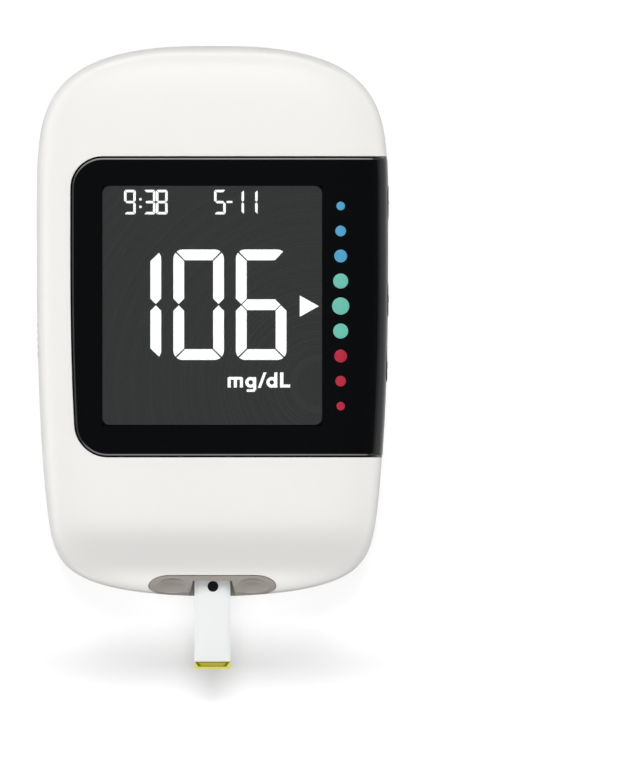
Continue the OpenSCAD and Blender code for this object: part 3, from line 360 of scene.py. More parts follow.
outer, inner = shell_surface(0, 1, 120), shell_surface(wall, 1, 90)
front_cover = build("front_shell", [outer, inner, np.stack([hem(outer), hem(inner)])])
thumb_low, thumb_high = (np.array(p)/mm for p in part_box("ejector_thumb"))
socket_low, socket_high = (np.array(p)/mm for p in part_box("socket_shell"))
travel = [j for j in frame["joints"] if j["name"] == "ejector_slide"][0]["range_m"][1]/mm
thumb_gap, view_margin = 0.15, 0.6
slot_plan = rounded_plan(-body_w/2 - 1, -body_w/2 + 4, thumb_low[1] - travel - thumb_gap,
                         thumb_high[1] + thumb_gap, 0.3)
front_openings = [
    seat_cutter(),
    prism("cutter", rounded_plan(view_low[0] - view_margin, view_high[0] + view_margin,
                                 view_low[1] - view_margin, view_high[1] + view_margin, 0.8),
          split_z + 1, front_z + 1),
    prism("cutter", port_plan(0.08), split_z - 1, front_z),
    prism("cutter", slot_plan, thumb_low[2] - thumb_gap, thumb_high[2] + thumb_gap),
    prism("cutter", rounded_plan(socket_low[0] - 0.3, socket_high[0] + 0.3, y_top - 4, y_top + 1, 0.2),
          split_z - 1, socket_high[2] + 0.3),
]
front_openings += [pill_cutter(y, float(half(y)) - 4.5, float(half(y)) + 1, 0.25) for y in buttons]
open_up(front_cover, front_openings)
shell_white = moulded_plastic("shell_white", (0.86, 0.85, 0.83), 0.34, 0.16, 0.003, 0.006)
coat(front_cover, shell_white)
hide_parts("front_cover")
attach(front_cover, "meter_body")

# ---------------------------------------------------------------------------
# Rear cover: the white lower half, moulded as the front one, with a flat back,
# the well of the coin cell, hollow pillars for the screws, a recess for the
# label and the opening of the battery door.
# ---------------------------------------------------------------------------
back_cut = 0.4
back_h = split_z + back_cut
door_low, door_high = (np.array(p)/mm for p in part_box("battery_door"))
label_low, label_high = (np.array(p)/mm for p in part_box("back_label"))
coin_low, coin_high = (np.array(p)/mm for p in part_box("coin_can"))
screws_low, screws_high = (np.array(p)/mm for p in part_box("case_screws"))
head_r, screw_r, sink_z = 1.6, 0.8, 2.2
low_spot = (12.0, screws_low[1] + head_r)
high_spot = (10.0, screws_high[1] - head_r)
case_spots = [(s*x, y) for x, y in (low_spot, high_spot) for s in (1, -1)]
boss_r = head_r + 0.7
coin_y = (coin_low[1] + coin_high[1])/2
coin_r = (coin_high[0] - coin_low[0])/2
well_r = coin_r + 0.3
board_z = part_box("main_board")[0].z/mm
hinge_y = door_high[1] - wall/2

back_outer = shell_surface(0, -1, 120, 0.0, back_h)
back_inner = shell_surface(wall, -1, 90, wall, back_h)
rear_cover = build("rear_shell", [back_outer, back_inner, np.stack([hem(back_outer), hem(back_inner)])])
door_gap = 0.15
rear_openings = [
    prism("cutter", rounded_plan(-10.5 - door_gap, 10.5 + door_gap, door_low[1] - door_gap,
                                 door_high[1] + door_gap, 0.25), -1, wall + 0.5),
    prism("cutter", rounded_plan(label_low[0] - door_gap, label_high[0] + door_gap,
                                 label_low[1] - door_gap, label_high[1] + door_gap, 1.5), -1, 0.15),
]
rear_openings += [prism("cutter", turned([(head_r + 0.15, 0)], 48, spot)[0, :, :2], -1, sink_z + 1)
                  for spot in case_spots]
open_up(rear_cover, rear_openings)
well = turned([(well_r, wall - 0.01), (well_r, board_z - 0.7), (well_r + 1.2, board_z - 0.7),
               (well_r + 1.2, wall - 0.3), (well_r, wall - 0.3), (well_r, wall - 0.01)], 96, (0, coin_y))
pillar = [(head_r + 0.15, 0.3), (head_r + 0.15, sink_z), (screw_r + 0.1, sink_z), (screw_r + 0.1, split_z),
          (boss_r, split_z), (boss_r, wall - 0.2), (head_r + 0.15, 0.3)]
inside = build("rear_pillars", [well] + [turned(pillar, 48, spot) for spot in case_spots])
for piece, node in ((rear_cover, "rear_cover"), (inside, "rear_cover")):
    coat(piece, shell_white)
    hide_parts(node)
    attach(piece, "meter_body")

# ---------------------------------------------------------------------------
# Battery door: a flat white lid with eased edges, held by two pins at its
# upper edge, with four grip grooves near its free edge.
# ---------------------------------------------------------------------------
door_half = 10.5


def slab(x0, x1, y0, y1, z0, z1, corner, ease, steps=4):
    """A flat slab: its rounded plan is drawn in by a quarter circle of radius ease at both faces."""
    a = np.linspace(0, math.pi/2, steps + 1)
    ring = [(ease*(1 - math.sin(b)), z0 + ease*(1 - math.cos(b))) for b in a]
    ring += [(i, z1 - (z - z0)) for i, z in ring[::-1]]
    rings = [np.column_stack([rounded_plan(x0 + i, x1 - i, y0 + i, y1 - i, max(corner - i, 0.02)),
                              np.full(36 + 1, z)]) for i, z in ring]
    middle = np.broadcast_to([(x0 + x1)/2, (y0 + y1)/2], (36 + 1, 2))
    ends = [np.column_stack([middle, np.full(36 + 1, z)]) for z in (z0, z1)]
    return np.stack(ends[:1] + rings + ends[1:])


door = build("door_lid", [slab(-door_half, door_half, door_low[1], hinge_y + 0.1, 0, wall, 0.5, 0.15)])
grips = [prism("cutter", rounded_plan(-4, 4, door_low[1] + 2.4 + 1.1*k, door_low[1] + 2.9 + 1.1*k, 0.24),
               -1, 0.3) for k in range(4)]
open_up(door, grips)
barrel_profile = [(0, -door_half), (wall/2, -door_half), (wall/2, door_half), (0, door_half)]
pin_profile = [(0, -door_half - 0.7), (0.35, -door_half - 0.7), (0.4, -door_half - 0.65),
               (0.4, door_half + 0.65), (0.35, door_half + 0.7), (0, door_half + 0.7)]
barrel = [turned(p, 32) for p in (barrel_profile, pin_profile)]
hinge = build("door_hinge", [np.stack([g[..., 2], hinge_y + g[..., 0], wall/2 + g[..., 1]], -1)
                             for g in barrel])
for piece in (door, hinge):
    coat(piece, shell_white)
    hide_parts("battery_door")
    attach(piece, "battery_door")

# ---------------------------------------------------------------------------
# Display window: one glossy black moulding that lies in the cover's seat and
# wraps over the right flank. Its edge has a narrow bevel that catches the
# light, and a thin black flange at the foot of the gap round it paints the
# shade that lies deep in that gap.
# ---------------------------------------------------------------------------
edge_in, bevel, ease_r = -0.08, 0.2, 0.07
# The black flange under the gap round the window, at the last depths, is painted shade for the gap's foot
edge_z, shade_flange_z, shade_flange_grow = 0.01 - window_proud, window_t - window_proud - 0.2, window_gap - 0.04
face = window_sheet(-window_proud, edge_in - bevel - ease_r)
back = window_sheet(window_t - window_proud, shade_flange_grow)
depths = [(edge_z, edge_in - bevel), (edge_z + bevel*0.88, edge_in), (shade_flange_z, edge_in),
          (shade_flange_z, shade_flange_grow)]
edge = [border(window_sheet(*depth)) for depth in depths]
# First and past-last rows and columns of a window sheet that the clear view takes
r0, r1, c0, c1 = 18, 79, 14, 55


def frame_parts(sheet):
    """A sheet without its clear view: the strips below, left, right and above the view."""
    return [sheet[:r0 + 1], sheet[r0:r1, :c0 + 1], sheet[r0:r1, c1 - 1:], sheet[r1 - 1:]]


def view_part(sheet):
    """The part of a sheet that is the clear view."""
    return sheet[r0:r1, c0:c1]


window = build("window", frame_parts(face) + frame_parts(back)
               + [np.stack([border(face)] + edge + [border(back)]),
                  np.stack([border(view_part(face)), border(view_part(back))])], 25)
open_up(window, [pill_cutter(y, float(half(y)) - 3, float(half(y)) + 1, button_gap) for y in buttons], 25)
window_black = moulded_plastic("window_black", (0.0035, 0.0038, 0.0045), 0.09, 0.9, 0.0002, 0.1)
coat(window, window_black)
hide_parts("display_window")
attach(window, "meter_body")

# ---------------------------------------------------------------------------
# Clear view: the part of the window that is left unprinted, polished clear,
# flush with the black round it. Behind it a black foam frame with round
# inner corners shuts out dust and side light.
# ---------------------------------------------------------------------------


def clear_sheet(name, tint, rough, mirror):
    """A clear sheet: what lies behind shows through it with a slight tint, and its surface mirrors
    by Fresnel."""
    material = bpy.data.materials.new(name)
    material.use_nodes = True
    tree = material.node_tree
    tree.nodes.remove(tree.nodes["Principled BSDF"])
    through, gloss = tree.nodes.new("ShaderNodeBsdfTransparent"), tree.nodes.new("ShaderNodeBsdfGlossy")
    through.inputs["Color"].default_value = (*tint, 1)
    gloss.inputs["Roughness"].default_value = rough
    fresnel, share = tree.nodes.new("ShaderNodeFresnel"), tree.nodes.new("ShaderNodeMath")
    fresnel.inputs["IOR"].default_value = 1.49
    share.operation = "MULTIPLY"
    share.inputs[1].default_value = mirror
    mix = tree.nodes.new("ShaderNodeMixShader")
    link = tree.links.new
    link(fresnel.outputs["Fac"], share.inputs[0])
    link(share.outputs["Value"], mix.inputs["Fac"])
    link(through.outputs["BSDF"], mix.inputs[1])
    link(gloss.outputs["BSDF"], mix.inputs[2])
    link(mix.outputs["Shader"], tree.nodes["Material Output"].inputs["Surface"])
    return material


lens_face, lens_back = view_part(window_sheet(-window_proud, 0)), view_part(back)
lens = build("clear_view", [lens_face, lens_back, np.stack([border(lens_face), border(lens_back)])], 50)
coat(lens, clear_sheet("clear_acrylic", (0.97, 0.975, 0.98), 0.04, 0.8))
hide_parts("display_lens")
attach(lens, "meter_body")

lcd_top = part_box("lcd_polariser")[1].z/mm
inner_plan = rounded_plan(view_low[0], view_high[0], view_low[1] + 0.2, view_high[1], 1.0)
gasket_w = 0.55
outer_plan = rounded_plan(view_low[0] - gasket_w, view_high[0] + gasket_w,
                          view_low[1] - gasket_w, view_high[1] + gasket_w, 0.8)
gasket_top = 0.02 + window_t - window_proud
ring = [np.column_stack([p, front(p[:, 0], p[:, 1], gasket_top)]) for p in (inner_plan, outer_plan)]
ring += [np.column_stack([p, np.full(len(p), lcd_top + 0.02)]) for p in (outer_plan, inner_plan)]
gasket = build("view_gasket", [np.stack(ring + ring[:1])])
foam_black = moulded_plastic("foam_black", (0.006, 0.006, 0.007), 0.9, 0.25, 0.02, 0.1, 0.2)
coat(gasket, foam_black)
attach(gasket, "meter_body")

# ---------------------------------------------------------------------------
# Range dots: nine round prints beside the view, largest in the middle, blue
# above, teal in the middle and red below, each a thin film of ink.
# ---------------------------------------------------------------------------
dots_low, dots_high = (np.array(p)/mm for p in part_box("range_dots"))
dot_x, dot_pitch, dot_r, dot_step = 17.9, 3.485, 1.2, 0.153
dot_y = (dots_low[1] + dots_high[1])/2


def ink_dot(rank):
    """A round film: rings round its middle lie on the window's surface, 0.02 mm proud, and its edge
    goes down into the surface."""
    r = dot_r - dot_step*abs(rank)
    profile = [(0, 0.02), (r*0.5, 0.02), (r - 0.03, 0.02), (r, 0.0), (r, -0.05), (0, -0.05)]
    grid = turned(profile, 40, (dot_x, dot_y - rank*dot_pitch))
    grid[..., 2] += front(grid[..., 0], grid[..., 1], -window_proud)
    return grid


def ink(name, colour):
    """Printing ink: a thin satin film with a faint drift of colour."""
    return moulded_plastic(name, colour, 0.3, 0.12, 0.001, 0.03)


dot_colours = {"dots_blue": (0.075, 0.35, 0.59), "dots_teal": (0.142, 0.52, 0.42),
               "dots_red": (0.452, 0.018, 0.048)}
for (name, colour), ranks in zip(dot_colours.items(), ((-4, -3, -2), (-1, 0, 1), (2, 3, 4))):
    dots = build(name, [ink_dot(rank) for rank in ranks])
    coat(dots, ink(name + "_ink", colour))
    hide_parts("range_dots")
    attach(dots, "meter_body")

# ---------------------------------------------------------------------------
# Display cell: a polariser film and two sheets of glass with the lit segments
# between them, on a light guide with three lamps, all in a white frame that
# stands on the board. A rubber strip joins the cell to the board.
# ---------------------------------------------------------------------------


def frame_finish(names, material):
    """Gives the same finish to frame nodes whose own shape is right."""
    for name in names:
        coat(nodes[name], material)


def back_lit(name, colour, base, strength):
    """A layer of the cell with the lamps' light coming through it, uneven by a few hundredths."""
    material = bpy.data.materials.new(name)
    material.use_nodes = True
    tree = material.node_tree
    skin = tree.nodes["Principled BSDF"]
    skin.inputs["Base Color"].default_value = (*base, 1)
    skin.inputs["Roughness"].default_value = 0.5
    skin.inputs["Emission Strength"].default_value = strength
    where, slow, mix = (tree.nodes.new("ShaderNode" + k) for k in ("TexCoord", "TexNoise", "Mix"))
    slow.inputs["Scale"].default_value = 150
    mix.data_type = "RGBA"
    mix.inputs["A"].default_value = (*[c*0.97 for c in colour], 1)
    mix.inputs["B"].default_value = (*colour, 1)
    tree.links.new(where.outputs["Object"], slow.inputs["Vector"])
    tree.links.new(slow.outputs["Fac"], mix.inputs["Factor"])
    tree.links.new(mix.outputs["Result"], skin.inputs["Emission Color"])
    return material


frame_finish(["lcd_polariser"], clear_sheet("polariser_film", (0.9, 0.9, 0.9), 0.2, 0.35))
frame_finish(["lcd_front_glass"], clear_sheet("cell_glass", (0.95, 0.96, 0.955), 0.06, 0.4))
frame_finish(["lcd_rear_glass"], back_lit("display_dark", (1.0, 1.0, 1.0), (0.03, 0.03, 0.03), 0.058))
frame_finish(["lcd_digits"], back_lit("segment_white", (1.0, 1.0, 1.0), (0.8, 0.8, 0.8), 1.6))
frame_finish(["lcd_holder"], moulded_plastic("holder_white", (0.74, 0.74, 0.72), 0.5, 0.2, 0.004))
frame_finish(["backlight_guide"], moulded_plastic("guide_clear", (0.82, 0.86, 0.88), 0.12, 0.5, 0.0005))
frame_finish(["backlight_leds"], moulded_plastic("led_yellow", (0.85, 0.75, 0.28), 0.35, 0.1, 0.001))
frame_finish(["zebra_strip"], moulded_plastic("rubber_pink", (0.62, 0.28, 0.30), 0.7, 0.05, 0.004))

# ---------------------------------------------------------------------------
# Circuit board: glass fibre with a green solder mask over copper tracks, and
# the parts soldered to its underside.
# ---------------------------------------------------------------------------


def solder_mask(name):
    """Green lacquer over copper: tracks from a brick pattern show lighter through it and stand up."""
    material = moulded_plastic(name, (0.012, 0.13, 0.05), 0.3, 0.12, 0.001, 0.05)
    tree = material.node_tree
    skin = tree.nodes["Principled BSDF"]
    tracks, mix = tree.nodes.new("ShaderNodeTexBrick"), tree.nodes.new("ShaderNodeMix")
    tracks.inputs["Scale"].default_value = 420
    tracks.inputs["Mortar Size"].default_value = 0.035
    tracks.inputs["Color1"].default_value = tracks.inputs["Color2"].default_value = (0, 0, 0, 1)
    tracks.inputs["Mortar"].default_value = (1, 1, 1, 1)
    mix.data_type = "RGBA"
    mix.inputs["B"].default_value = (0.03, 0.23, 0.085, 1)
    where = [n for n in tree.nodes if n.type == "TEX_COORD"][0]
    base = skin.inputs["Base Color"].links[0].from_socket
    tree.links.new(where.outputs["Object"], tracks.inputs["Vector"])
    tree.links.new(tracks.outputs["Color"], mix.inputs["Factor"])
    tree.links.new(base, mix.inputs["A"])
    tree.links.new(mix.outputs["Result"], skin.inputs["Base Color"])
    return material


def rolled_metal(name, colour, rough, grain=0.3, stretch=(1, 12, 1)):
    """Sheet or turned metal: a noise stretched along one axis gives fine drawn lines in roughness
    and relief."""
    material = moulded_plastic(name, colour, rough, grain, 0.0006, 0.04)
    tree = material.node_tree
    tree.nodes["Principled BSDF"].inputs["Metallic"].default_value = 1.0
    fine = [n for n in tree.nodes if n.type == "TEX_NOISE" and n.inputs["Scale"].default_value > 100][0]
    where = [n for n in tree.nodes if n.type == "TEX_COORD"][0]
    stretcher = tree.nodes.new("ShaderNodeMapping")
    stretcher.inputs["Scale"].default_value = stretch
    tree.links.new(where.outputs["Object"], stretcher.inputs["Vector"])
    tree.links.new(stretcher.outputs["Vector"], fine.inputs["Vector"])
    return material


steel = rolled_metal("steel", (0.56, 0.57, 0.58), 0.28)
gold = rolled_metal("gold_plate", (0.83, 0.58, 0.25), 0.25)
chip_black = moulded_plastic("chip_black", (0.018, 0.018, 0.02), 0.55, 0.08, 0.004)
frame_finish(["main_board"], solder_mask("board_green"))
frame_finish(["microcontroller", "measuring_chip", "buzzer", "side_switches"], chip_black)
frame_finish(["radio_module", "crystal", "board_screws"], steel)
frame_finish(["passives"], moulded_plastic("ceramic_tan", (0.44, 0.33, 0.22), 0.5, 0.1, 0.002))
frame_finish(["strip_contacts", "contact_positive", "contact_negative"], gold)
frame_finish(["strip_connector"], moulded_plastic("connector_cream", (0.78, 0.76, 0.68), 0.45, 0.15, 0.003))

# ---------------------------------------------------------------------------
# Side buttons: three black pills in the window's flank, each moulded with a
# flange that keeps it in and a rounded rim, over the red plunger of a switch.
# The power button carries a raised bar, the others a raised arrowhead.
# ---------------------------------------------------------------------------
button_black = moulded_plastic("button_black", (0.012, 0.0125, 0.014), 0.38, 0.1, 0.004)
rounds = np.linspace(0, math.pi/2, 7)
rim_r = 0.3


def mark_solid(x, y, corners, rise):
    """A small raised mark on a button: its plan in (y, z), drawn in a little at the top."""
    plan = np.array(corners + corners[:1], float)
    middle = plan[:-1].mean(0)
    rings = [(-0.05, 1.0), (rise*0.6, 1.0), (rise, 0.9), (rise, 0.0)]
    return np.stack([np.column_stack([np.full(len(plan), x + h), y + middle[0] + (plan[:, 0] - middle[0])*k,
                                      button_z + middle[1] + (plan[:, 1] - middle[1])*k]) for h, k in rings])


button_marks = {"power_button": [(-0.12, -0.7), (0.12, -0.7), (0.12, 0.7), (-0.12, 0.7)],
                "up_button": [(0.6, 0.0), (-0.4, 0.62), (-0.4, -0.62)],
                "down_button": [(-0.6, 0.0), (0.4, -0.62), (0.4, 0.62)]}
for node, mark in button_marks.items():
    node_low, node_high = (np.array(p)/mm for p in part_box(node))
    y, back_x = (node_low[1] + node_high[1])/2, node_low[0]
    face_x = float(flank(y, -window_proud)) + 0.04
    rounding = [(face_x - rim_r + rim_r*math.sin(a), -rim_r*(1 - math.cos(a))) for a in rounds]
    profile = [(back_x, -button_h/2), (back_x, 0.3), (back_x + 0.05, 0.35), (back_x + 0.6, 0.35),
               (back_x + 0.6, 0.0)] + rounding + [(face_x, -button_h/2)]
    button = build(node + "_cap", [pill_solid(y, profile), mark_solid(face_x, y, mark, 0.04)])
    coat(button, button_black)
    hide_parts(node)
    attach(button, node)
frame_finish(["power_plunger", "up_plunger", "down_plunger"],
             moulded_plastic("plunger_red", (0.5, 0.04, 0.025), 0.4, 0.1, 0.002))

# ---------------------------------------------------------------------------
# Coin cell: a drawn and plated steel can with its sealing ring and cap, and
# the foam pad of the door that presses on it.
# ---------------------------------------------------------------------------
frame_finish(["coin_can", "coin_cap"], rolled_metal("cell_steel", (0.62, 0.62, 0.61), 0.22, 0.4, (1, 1, 1)))
frame_finish(["coin_gasket"], moulded_plastic("seal_grey", (0.09, 0.09, 0.1), 0.5, 0.1, 0.002))
frame_finish(["door_pad"], moulded_plastic("pad_foam", (0.035, 0.035, 0.04), 0.9, 0.3, 0.05, 0.1, 0.2))

# ---------------------------------------------------------------------------
# Strip port: a taupe satin moulding flush with the nose, screwed in nowhere
# but held between the covers. It has a scoop on each side for the fingertips,
# a trough that opens towards the nose and the slot for the strip.
# ---------------------------------------------------------------------------
strip_low, strip_high = (np.array(p)/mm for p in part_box("strip_base"))
strip_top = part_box("strip_cover")[1].z/mm
strip_w = strip_high[0] - strip_low[0]
strip_gap = 0.15
port_rim = 0.8
scoop_x, scoop_y, scoop_z, scoop_r, scoop_l = port_half - 3.25, y_nose + 1, split_z + 3.6, 1.7, 2.85


def nose_block(drop):
    """The nose end of the front as a solid block, drop below the cover's surface."""
    y = y_nose + (port_deep + 1.2)*np.linspace(0, 1, 61)[:, None]**1.9 + 0.002
    share = np.sin(np.linspace(-math.pi/2, math.pi/2, 81))
    x = np.minimum(half(y), port_half + 0.9)*share
    top = np.stack([x, np.broadcast_to(y, x.shape), front(x, y) - drop], -1)
    floor = top.copy()
    floor[..., 2] = split_z - 0.5
    return build("port_surround_taupe", [top, floor, np.stack([border(top), border(floor)])])


def scoop(side):
    """A long ellipsoid of revolution along X that hollows the port beside the strip."""
    a = np.linspace(-math.pi/2, math.pi/2, 41)[:, None]
    b = np.linspace(0, 2*math.pi, 65)
    x = scoop_l*np.sin(a)*np.ones_like(b)
    return build("cutter", [np.stack([side*scoop_x + x, scoop_y + scoop_r*np.cos(a)*np.cos(b),
                                      scoop_z + scoop_r*np.cos(a)*np.sin(b)], -1)])


trough_y, trough_in, trough_out = y_nose + port_deep - port_rim, strip_w/2 + 0.2, strip_w/2 + 1.1
trough = np.array([[-trough_in, trough_y], [trough_in, trough_y],
                   [trough_out, y_nose - 1], [-trough_out, y_nose - 1]])
slot_half = strip_w/2 + strip_gap
port = nose_block(0.03)
open_up(port, [prism("cutter", port_plan(0), split_z - 0.4, front_z)], kind="INTERSECT")
open_up(port, [prism("cutter", np.vstack([trough, trough[:1]]), strip_low[2] - 0.7, front_z),
               prism("cutter", rounded_plan(-slot_half, slot_half, y_nose - 1, y_nose + 9, 0.05),
                     strip_low[2] - strip_gap, strip_top + strip_gap), scoop(-1), scoop(1)])
coat(port, moulded_plastic("port_taupe", (0.32, 0.298, 0.270), 0.3, 0.12, 0.003, 0.04))
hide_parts("port_surround")
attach(port, "meter_body")

# ---------------------------------------------------------------------------
# Strip ejector: a white thumb piece with cross grooves on the left flank, its
# carriage inside and the steel return spring.
# ---------------------------------------------------------------------------
frame_finish(["ejector_thumb"], shell_white)
frame_finish(["ejector_carriage"], moulded_plastic("acetal_white", (0.76, 0.76, 0.73), 0.42, 0.2, 0.002))
frame_finish(["ejector_spring"], rolled_metal("spring_wire", (0.5, 0.5, 0.51), 0.3, 0.1, (1, 1, 1)))

# ---------------------------------------------------------------------------
# Charging socket, screws and label: a folded steel shell round a black
# tongue at the upper end, four cross-head screws and a bare silver label.
# ---------------------------------------------------------------------------
frame_finish(["socket_shell", "case_screws"], steel)
frame_finish(["socket_tongue"], chip_black)
frame_finish(["back_label"], rolled_metal("label_foil", (0.66, 0.66, 0.67), 0.42, 0.5, (1, 20, 1)))

# ---------------------------------------------------------------------------
# Test strip: a white polyester base with carbon tracks under a narrower cover
# film, both die cut, with a round black mark near the port. Its yellow end is
# a frame round the dark olive window that draws the sample in.
# ---------------------------------------------------------------------------
strip_white = moulded_plastic("strip_white", (0.845, 0.865, 0.862), 0.32, 0.2, 0.0008, 0.006)
film_side = 0.42
cover_low, cover_high = (np.array(p)/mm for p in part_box("strip_cover"))
strip_films = {
    "strip_base": slab(strip_low[0], strip_high[0], strip_low[1], strip_high[1], strip_low[2], strip_high[2],
                       0.1, 0.03, 3),
    "strip_cover": slab(cover_low[0] + film_side, cover_high[0] - film_side, cover_low[1], cover_high[1],
                        cover_low[2], cover_high[2], 0.05, 0.03, 3)}
tip_low, tip_high = (np.array(p)/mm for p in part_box("strip_tip"))
tip_narrow, tip_wide, tip_y0, tip_y1 = 1.95, 2.42, tip_low[1] + 0.3, tip_high[1] - 0.12
recess = [np.array([[-tip_narrow + i, tip_y0 + i/4], [tip_narrow - i, tip_y0 + i/4],
                    [tip_wide - i, tip_y1 - i/4], [-tip_wide + i, tip_y1 - i/4],
                    [-tip_narrow + i, tip_y0 + i/4]]) for i in (0, 0.45)]
tip = build("tip_frame", [slab(tip_low[0], tip_high[0], tip_low[1], tip_high[1], tip_low[2], tip_high[2],
                               0.06, 0.04, 3)])
open_up(tip, [prism("cutter", recess[0], tip_high[2] - 0.12, tip_high[2] + 1)])
tip_window = prism("tip_window", recess[0], tip_high[2] - 0.13, tip_high[2] - 0.1)
tip_core = prism("tip_core", recess[1], tip_high[2] - 0.11, tip_high[2] - 0.07)
for name, grid in strip_films.items():
    film = build(name + "_film", [grid])
    coat(film, strip_white)
    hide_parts(name)
    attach(film, "test_strip")
olive = {tip: (0.72, 0.68, 0.06), tip_window: (0.16, 0.15, 0.022), tip_core: (0.42, 0.40, 0.03)}
for piece, colour in olive.items():
    coat(piece, moulded_plastic(piece.name + "_film", colour, 0.35, 0.15, 0.002, 0.06))
    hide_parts("strip_tip")
    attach(piece, "test_strip")
frame_finish(["strip_electrodes"], moulded_plastic("carbon_ink", (0.03, 0.03, 0.032), 0.6, 0.05, 0.003))
frame_finish(["strip_mark"], moulded_plastic("mark_ink", (0.006, 0.006, 0.008), 0.5, 0.1, 0.001))

# ---------------------------------------------------------------------------
# Floor, light and camera: a pale floor that reads as white away from the
# object's soft shadow and a painted shadow beyond the nose, one lamp behind
# the upper end, one low on each side, two high over the nose, and a long lens
# that looks straight down.
# ---------------------------------------------------------------------------
half_floor = 1.5
floor_mesh = bpy.data.meshes.new("floor")
floor_mesh.from_pydata([(half_floor*i, half_floor*j, 0) for i, j in ((-1, -1), (1, -1), (1, 1), (-1, 1))],
                       [], [(0, 1, 2, 3)])
floor = bpy.data.objects.new("floor", floor_mesh)
bpy.context.scene.collection.objects.link(floor)
floor_material = bpy.data.materials.new("floor_white")
floor_material.use_nodes = True
tree = floor_material.node_tree
paint = tree.nodes["Principled BSDF"]
paint.inputs["Base Color"].default_value = (0.6, 0.6, 0.6, 1)
paint.inputs["Roughness"].default_value = 0.9
paint.inputs["Specular IOR Level"].default_value = 0.0
paint.inputs["Emission Color"].default_value = (1, 1, 1, 1)
# The camera sees a glow that makes the floor white. In an oval pool beyond
# the nose the glow fades, which paints a soft shadow there; the lamps' real
# shadow on the floor is kept too
rays, seen, lift = (tree.nodes.new("ShaderNode" + k) for k in ("LightPath", "Math", "Math"))
where, painted_shadow_pool, spread, painted_shadow_fade = (tree.nodes.new("ShaderNode" + k)
                             for k in ("TexCoord", "Mapping", "TexGradient", "MapRange"))
painted_shadow_pool.vector_type = "TEXTURE"
painted_shadow_pool.inputs["Location"].default_value = (0, -47.8*mm, 0)
painted_shadow_pool.inputs["Scale"].default_value = (38.7*mm, 6.2*mm, 1)
spread.gradient_type = "SPHERICAL"
# Towards the pool's middle the glow falls from 0.56 to 0.06: this is the painted shadow
painted_shadow_fade.inputs["To Min"].default_value, painted_shadow_fade.inputs["To Max"].default_value = 0.56, 0.06
seen.operation, lift.operation = "MAXIMUM", "MULTIPLY"
link = tree.links.new
link(where.outputs["Object"], painted_shadow_pool.inputs["Vector"])
link(painted_shadow_pool.outputs["Vector"], spread.inputs["Vector"])
link(spread.outputs["Fac"], painted_shadow_fade.inputs["Value"])
link(rays.outputs["Is Camera Ray"], seen.inputs[0])
link(rays.outputs["Is Transmission Ray"], seen.inputs[1])
link(seen.outputs["Value"], lift.inputs[0])
link(painted_shadow_fade.outputs["Result"], lift.inputs[1])
link(lift.outputs["Value"], paint.inputs["Emission Strength"])
floor.data.materials.append(floor_material)

scene = bpy.context.scene
scene.view_settings.view_transform = "Standard"
world = bpy.data.worlds.new("studio")
scene.world = world
world.use_nodes = True
tree = world.node_tree
sky = tree.nodes["Background"]
# White to the camera and dim to matt surfaces. Gloss sees a band near the
# horizon, brighter on the left and towards both ends
where, apart, ramp = (tree.nodes.new("ShaderNode" + k) for k in ("TexCoord", "SeparateXYZ", "ValToRGB"))
rays, pick, dim = (tree.nodes.new("ShaderNode" + k) for k in ("LightPath", "Mix", "Mix"))
ramp.color_ramp.elements[0].position, ramp.color_ramp.elements[0].color = 0.16, (1, 1, 1, 1)
ramp.color_ramp.elements[1].position, ramp.color_ramp.elements[1].color = 0.8, (0.01, 0.0105, 0.011, 1)
for place, level in ((0.26, 0.12), (0.5, 0.03)):
    ramp.color_ramp.elements.new(place).color = (level, level, level, 1)
aside, square, uneven, ahead, bright = (tree.nodes.new("ShaderNode" + k) for k in
                                        ("MapRange", "Math", "Math", "Math", "VectorMath"))
aside.inputs["From Min"].default_value = -1
aside.inputs["To Min"].default_value, aside.inputs["To Max"].default_value = 1.9, 0.35
square.operation, uneven.operation, ahead.operation = "MULTIPLY", "MULTIPLY_ADD", "MULTIPLY_ADD"
uneven.inputs[1].default_value, uneven.inputs[2].default_value = 1.2, 4.2
bright.operation = "SCALE"
for node in (pick, dim):
    node.data_type = "RGBA"
dim.inputs["A"].default_value = (0.08, 0.08, 0.08, 1)
pick.inputs["B"].default_value = (1, 1, 1, 1)
link = tree.links.new
link(where.outputs["Generated"], apart.inputs["Vector"])
link(apart.outputs["Z"], ramp.inputs["Fac"])
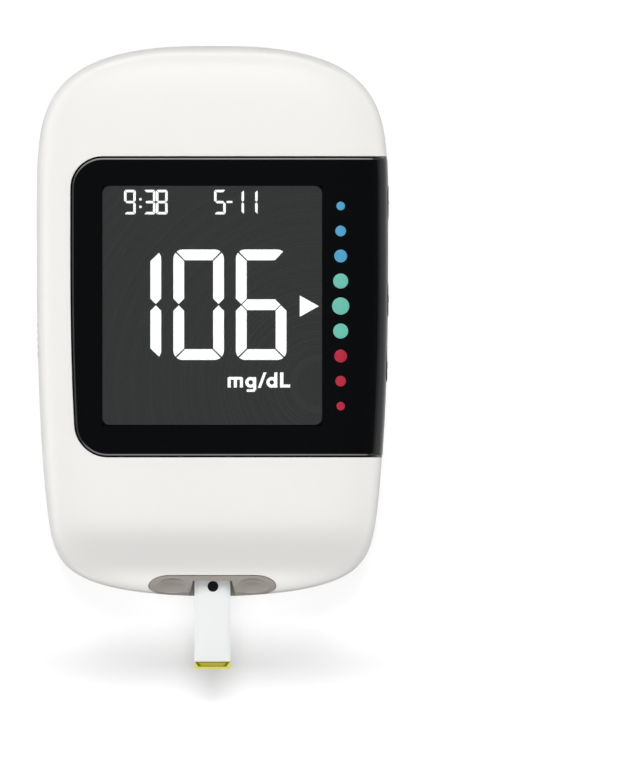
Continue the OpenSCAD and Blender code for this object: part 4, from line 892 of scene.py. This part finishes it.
link(rays.outputs["Is Glossy Ray"], dim.inputs["Factor"])
link(apart.outputs["X"], aside.inputs["Value"])
link(apart.outputs["Y"], square.inputs[0])
link(apart.outputs["Y"], square.inputs[1])
link(apart.outputs["Y"], uneven.inputs[0])
link(square.outputs["Value"], ahead.inputs[0])
link(uneven.outputs["Value"], ahead.inputs[1])
link(aside.outputs["Result"], ahead.inputs[2])
link(ramp.outputs["Color"], bright.inputs[0])
link(ahead.outputs["Value"], bright.inputs["Scale"])
link(bright.outputs["Vector"], dim.inputs["B"])
link(rays.outputs["Is Camera Ray"], pick.inputs["Factor"])
link(dim.outputs["Result"], pick.inputs["A"])
link(pick.outputs["Result"], sky.inputs["Color"])


def softbox(name, place, size, power):
    """A square area lamp of the given side, aimed at the object."""
    lamp = bpy.data.lights.new(name, "AREA")
    lamp.shape, lamp.size, lamp.energy = "SQUARE", size, power
    box = bpy.data.objects.new(name, lamp)
    scene.collection.objects.link(box)
    box.location = place
    box.rotation_euler = (-Vector(place)).to_track_quat("-Z", "Y").to_euler()
    return box


lamps = [softbox("behind", (0.0, 0.717, 1.024), 0.6, 8.1)]
lamps += [softbox("left", (-1.175, 0.0, 0.43), 0.6, 6.2), softbox("right", (1.175, 0.0, 0.43), 0.6, 5.1)]
lamps += [softbox("ahead", (0.214*k, -0.37, 1.175), 0.6, 3.0) for k in (-1, 1)]
for lamp in lamps:
    lamp.visible_glossy = False

# The frame is 639 by 768 pixels, and the object's origin lies at the middle
# pixel named here
pixel, picture_w, picture_h = 0.1396*mm, 639, 768
middle_x, middle_y = 212.4, 321.25
aim = Vector(((picture_w/2 - middle_x)*pixel, (middle_y - picture_h/2)*pixel, split_z*mm))
camera_data = bpy.data.cameras.new("camera")
camera = bpy.data.objects.new("camera", camera_data)
scene.collection.objects.link(camera)
scene.camera = camera
distance = 4.0
camera_data.sensor_fit = "AUTO"
camera_data.sensor_width = 36
camera_data.lens = 36*distance/(picture_h*pixel)
camera_data.clip_end = 20
camera.location = aim + Vector((0, 0, distance))
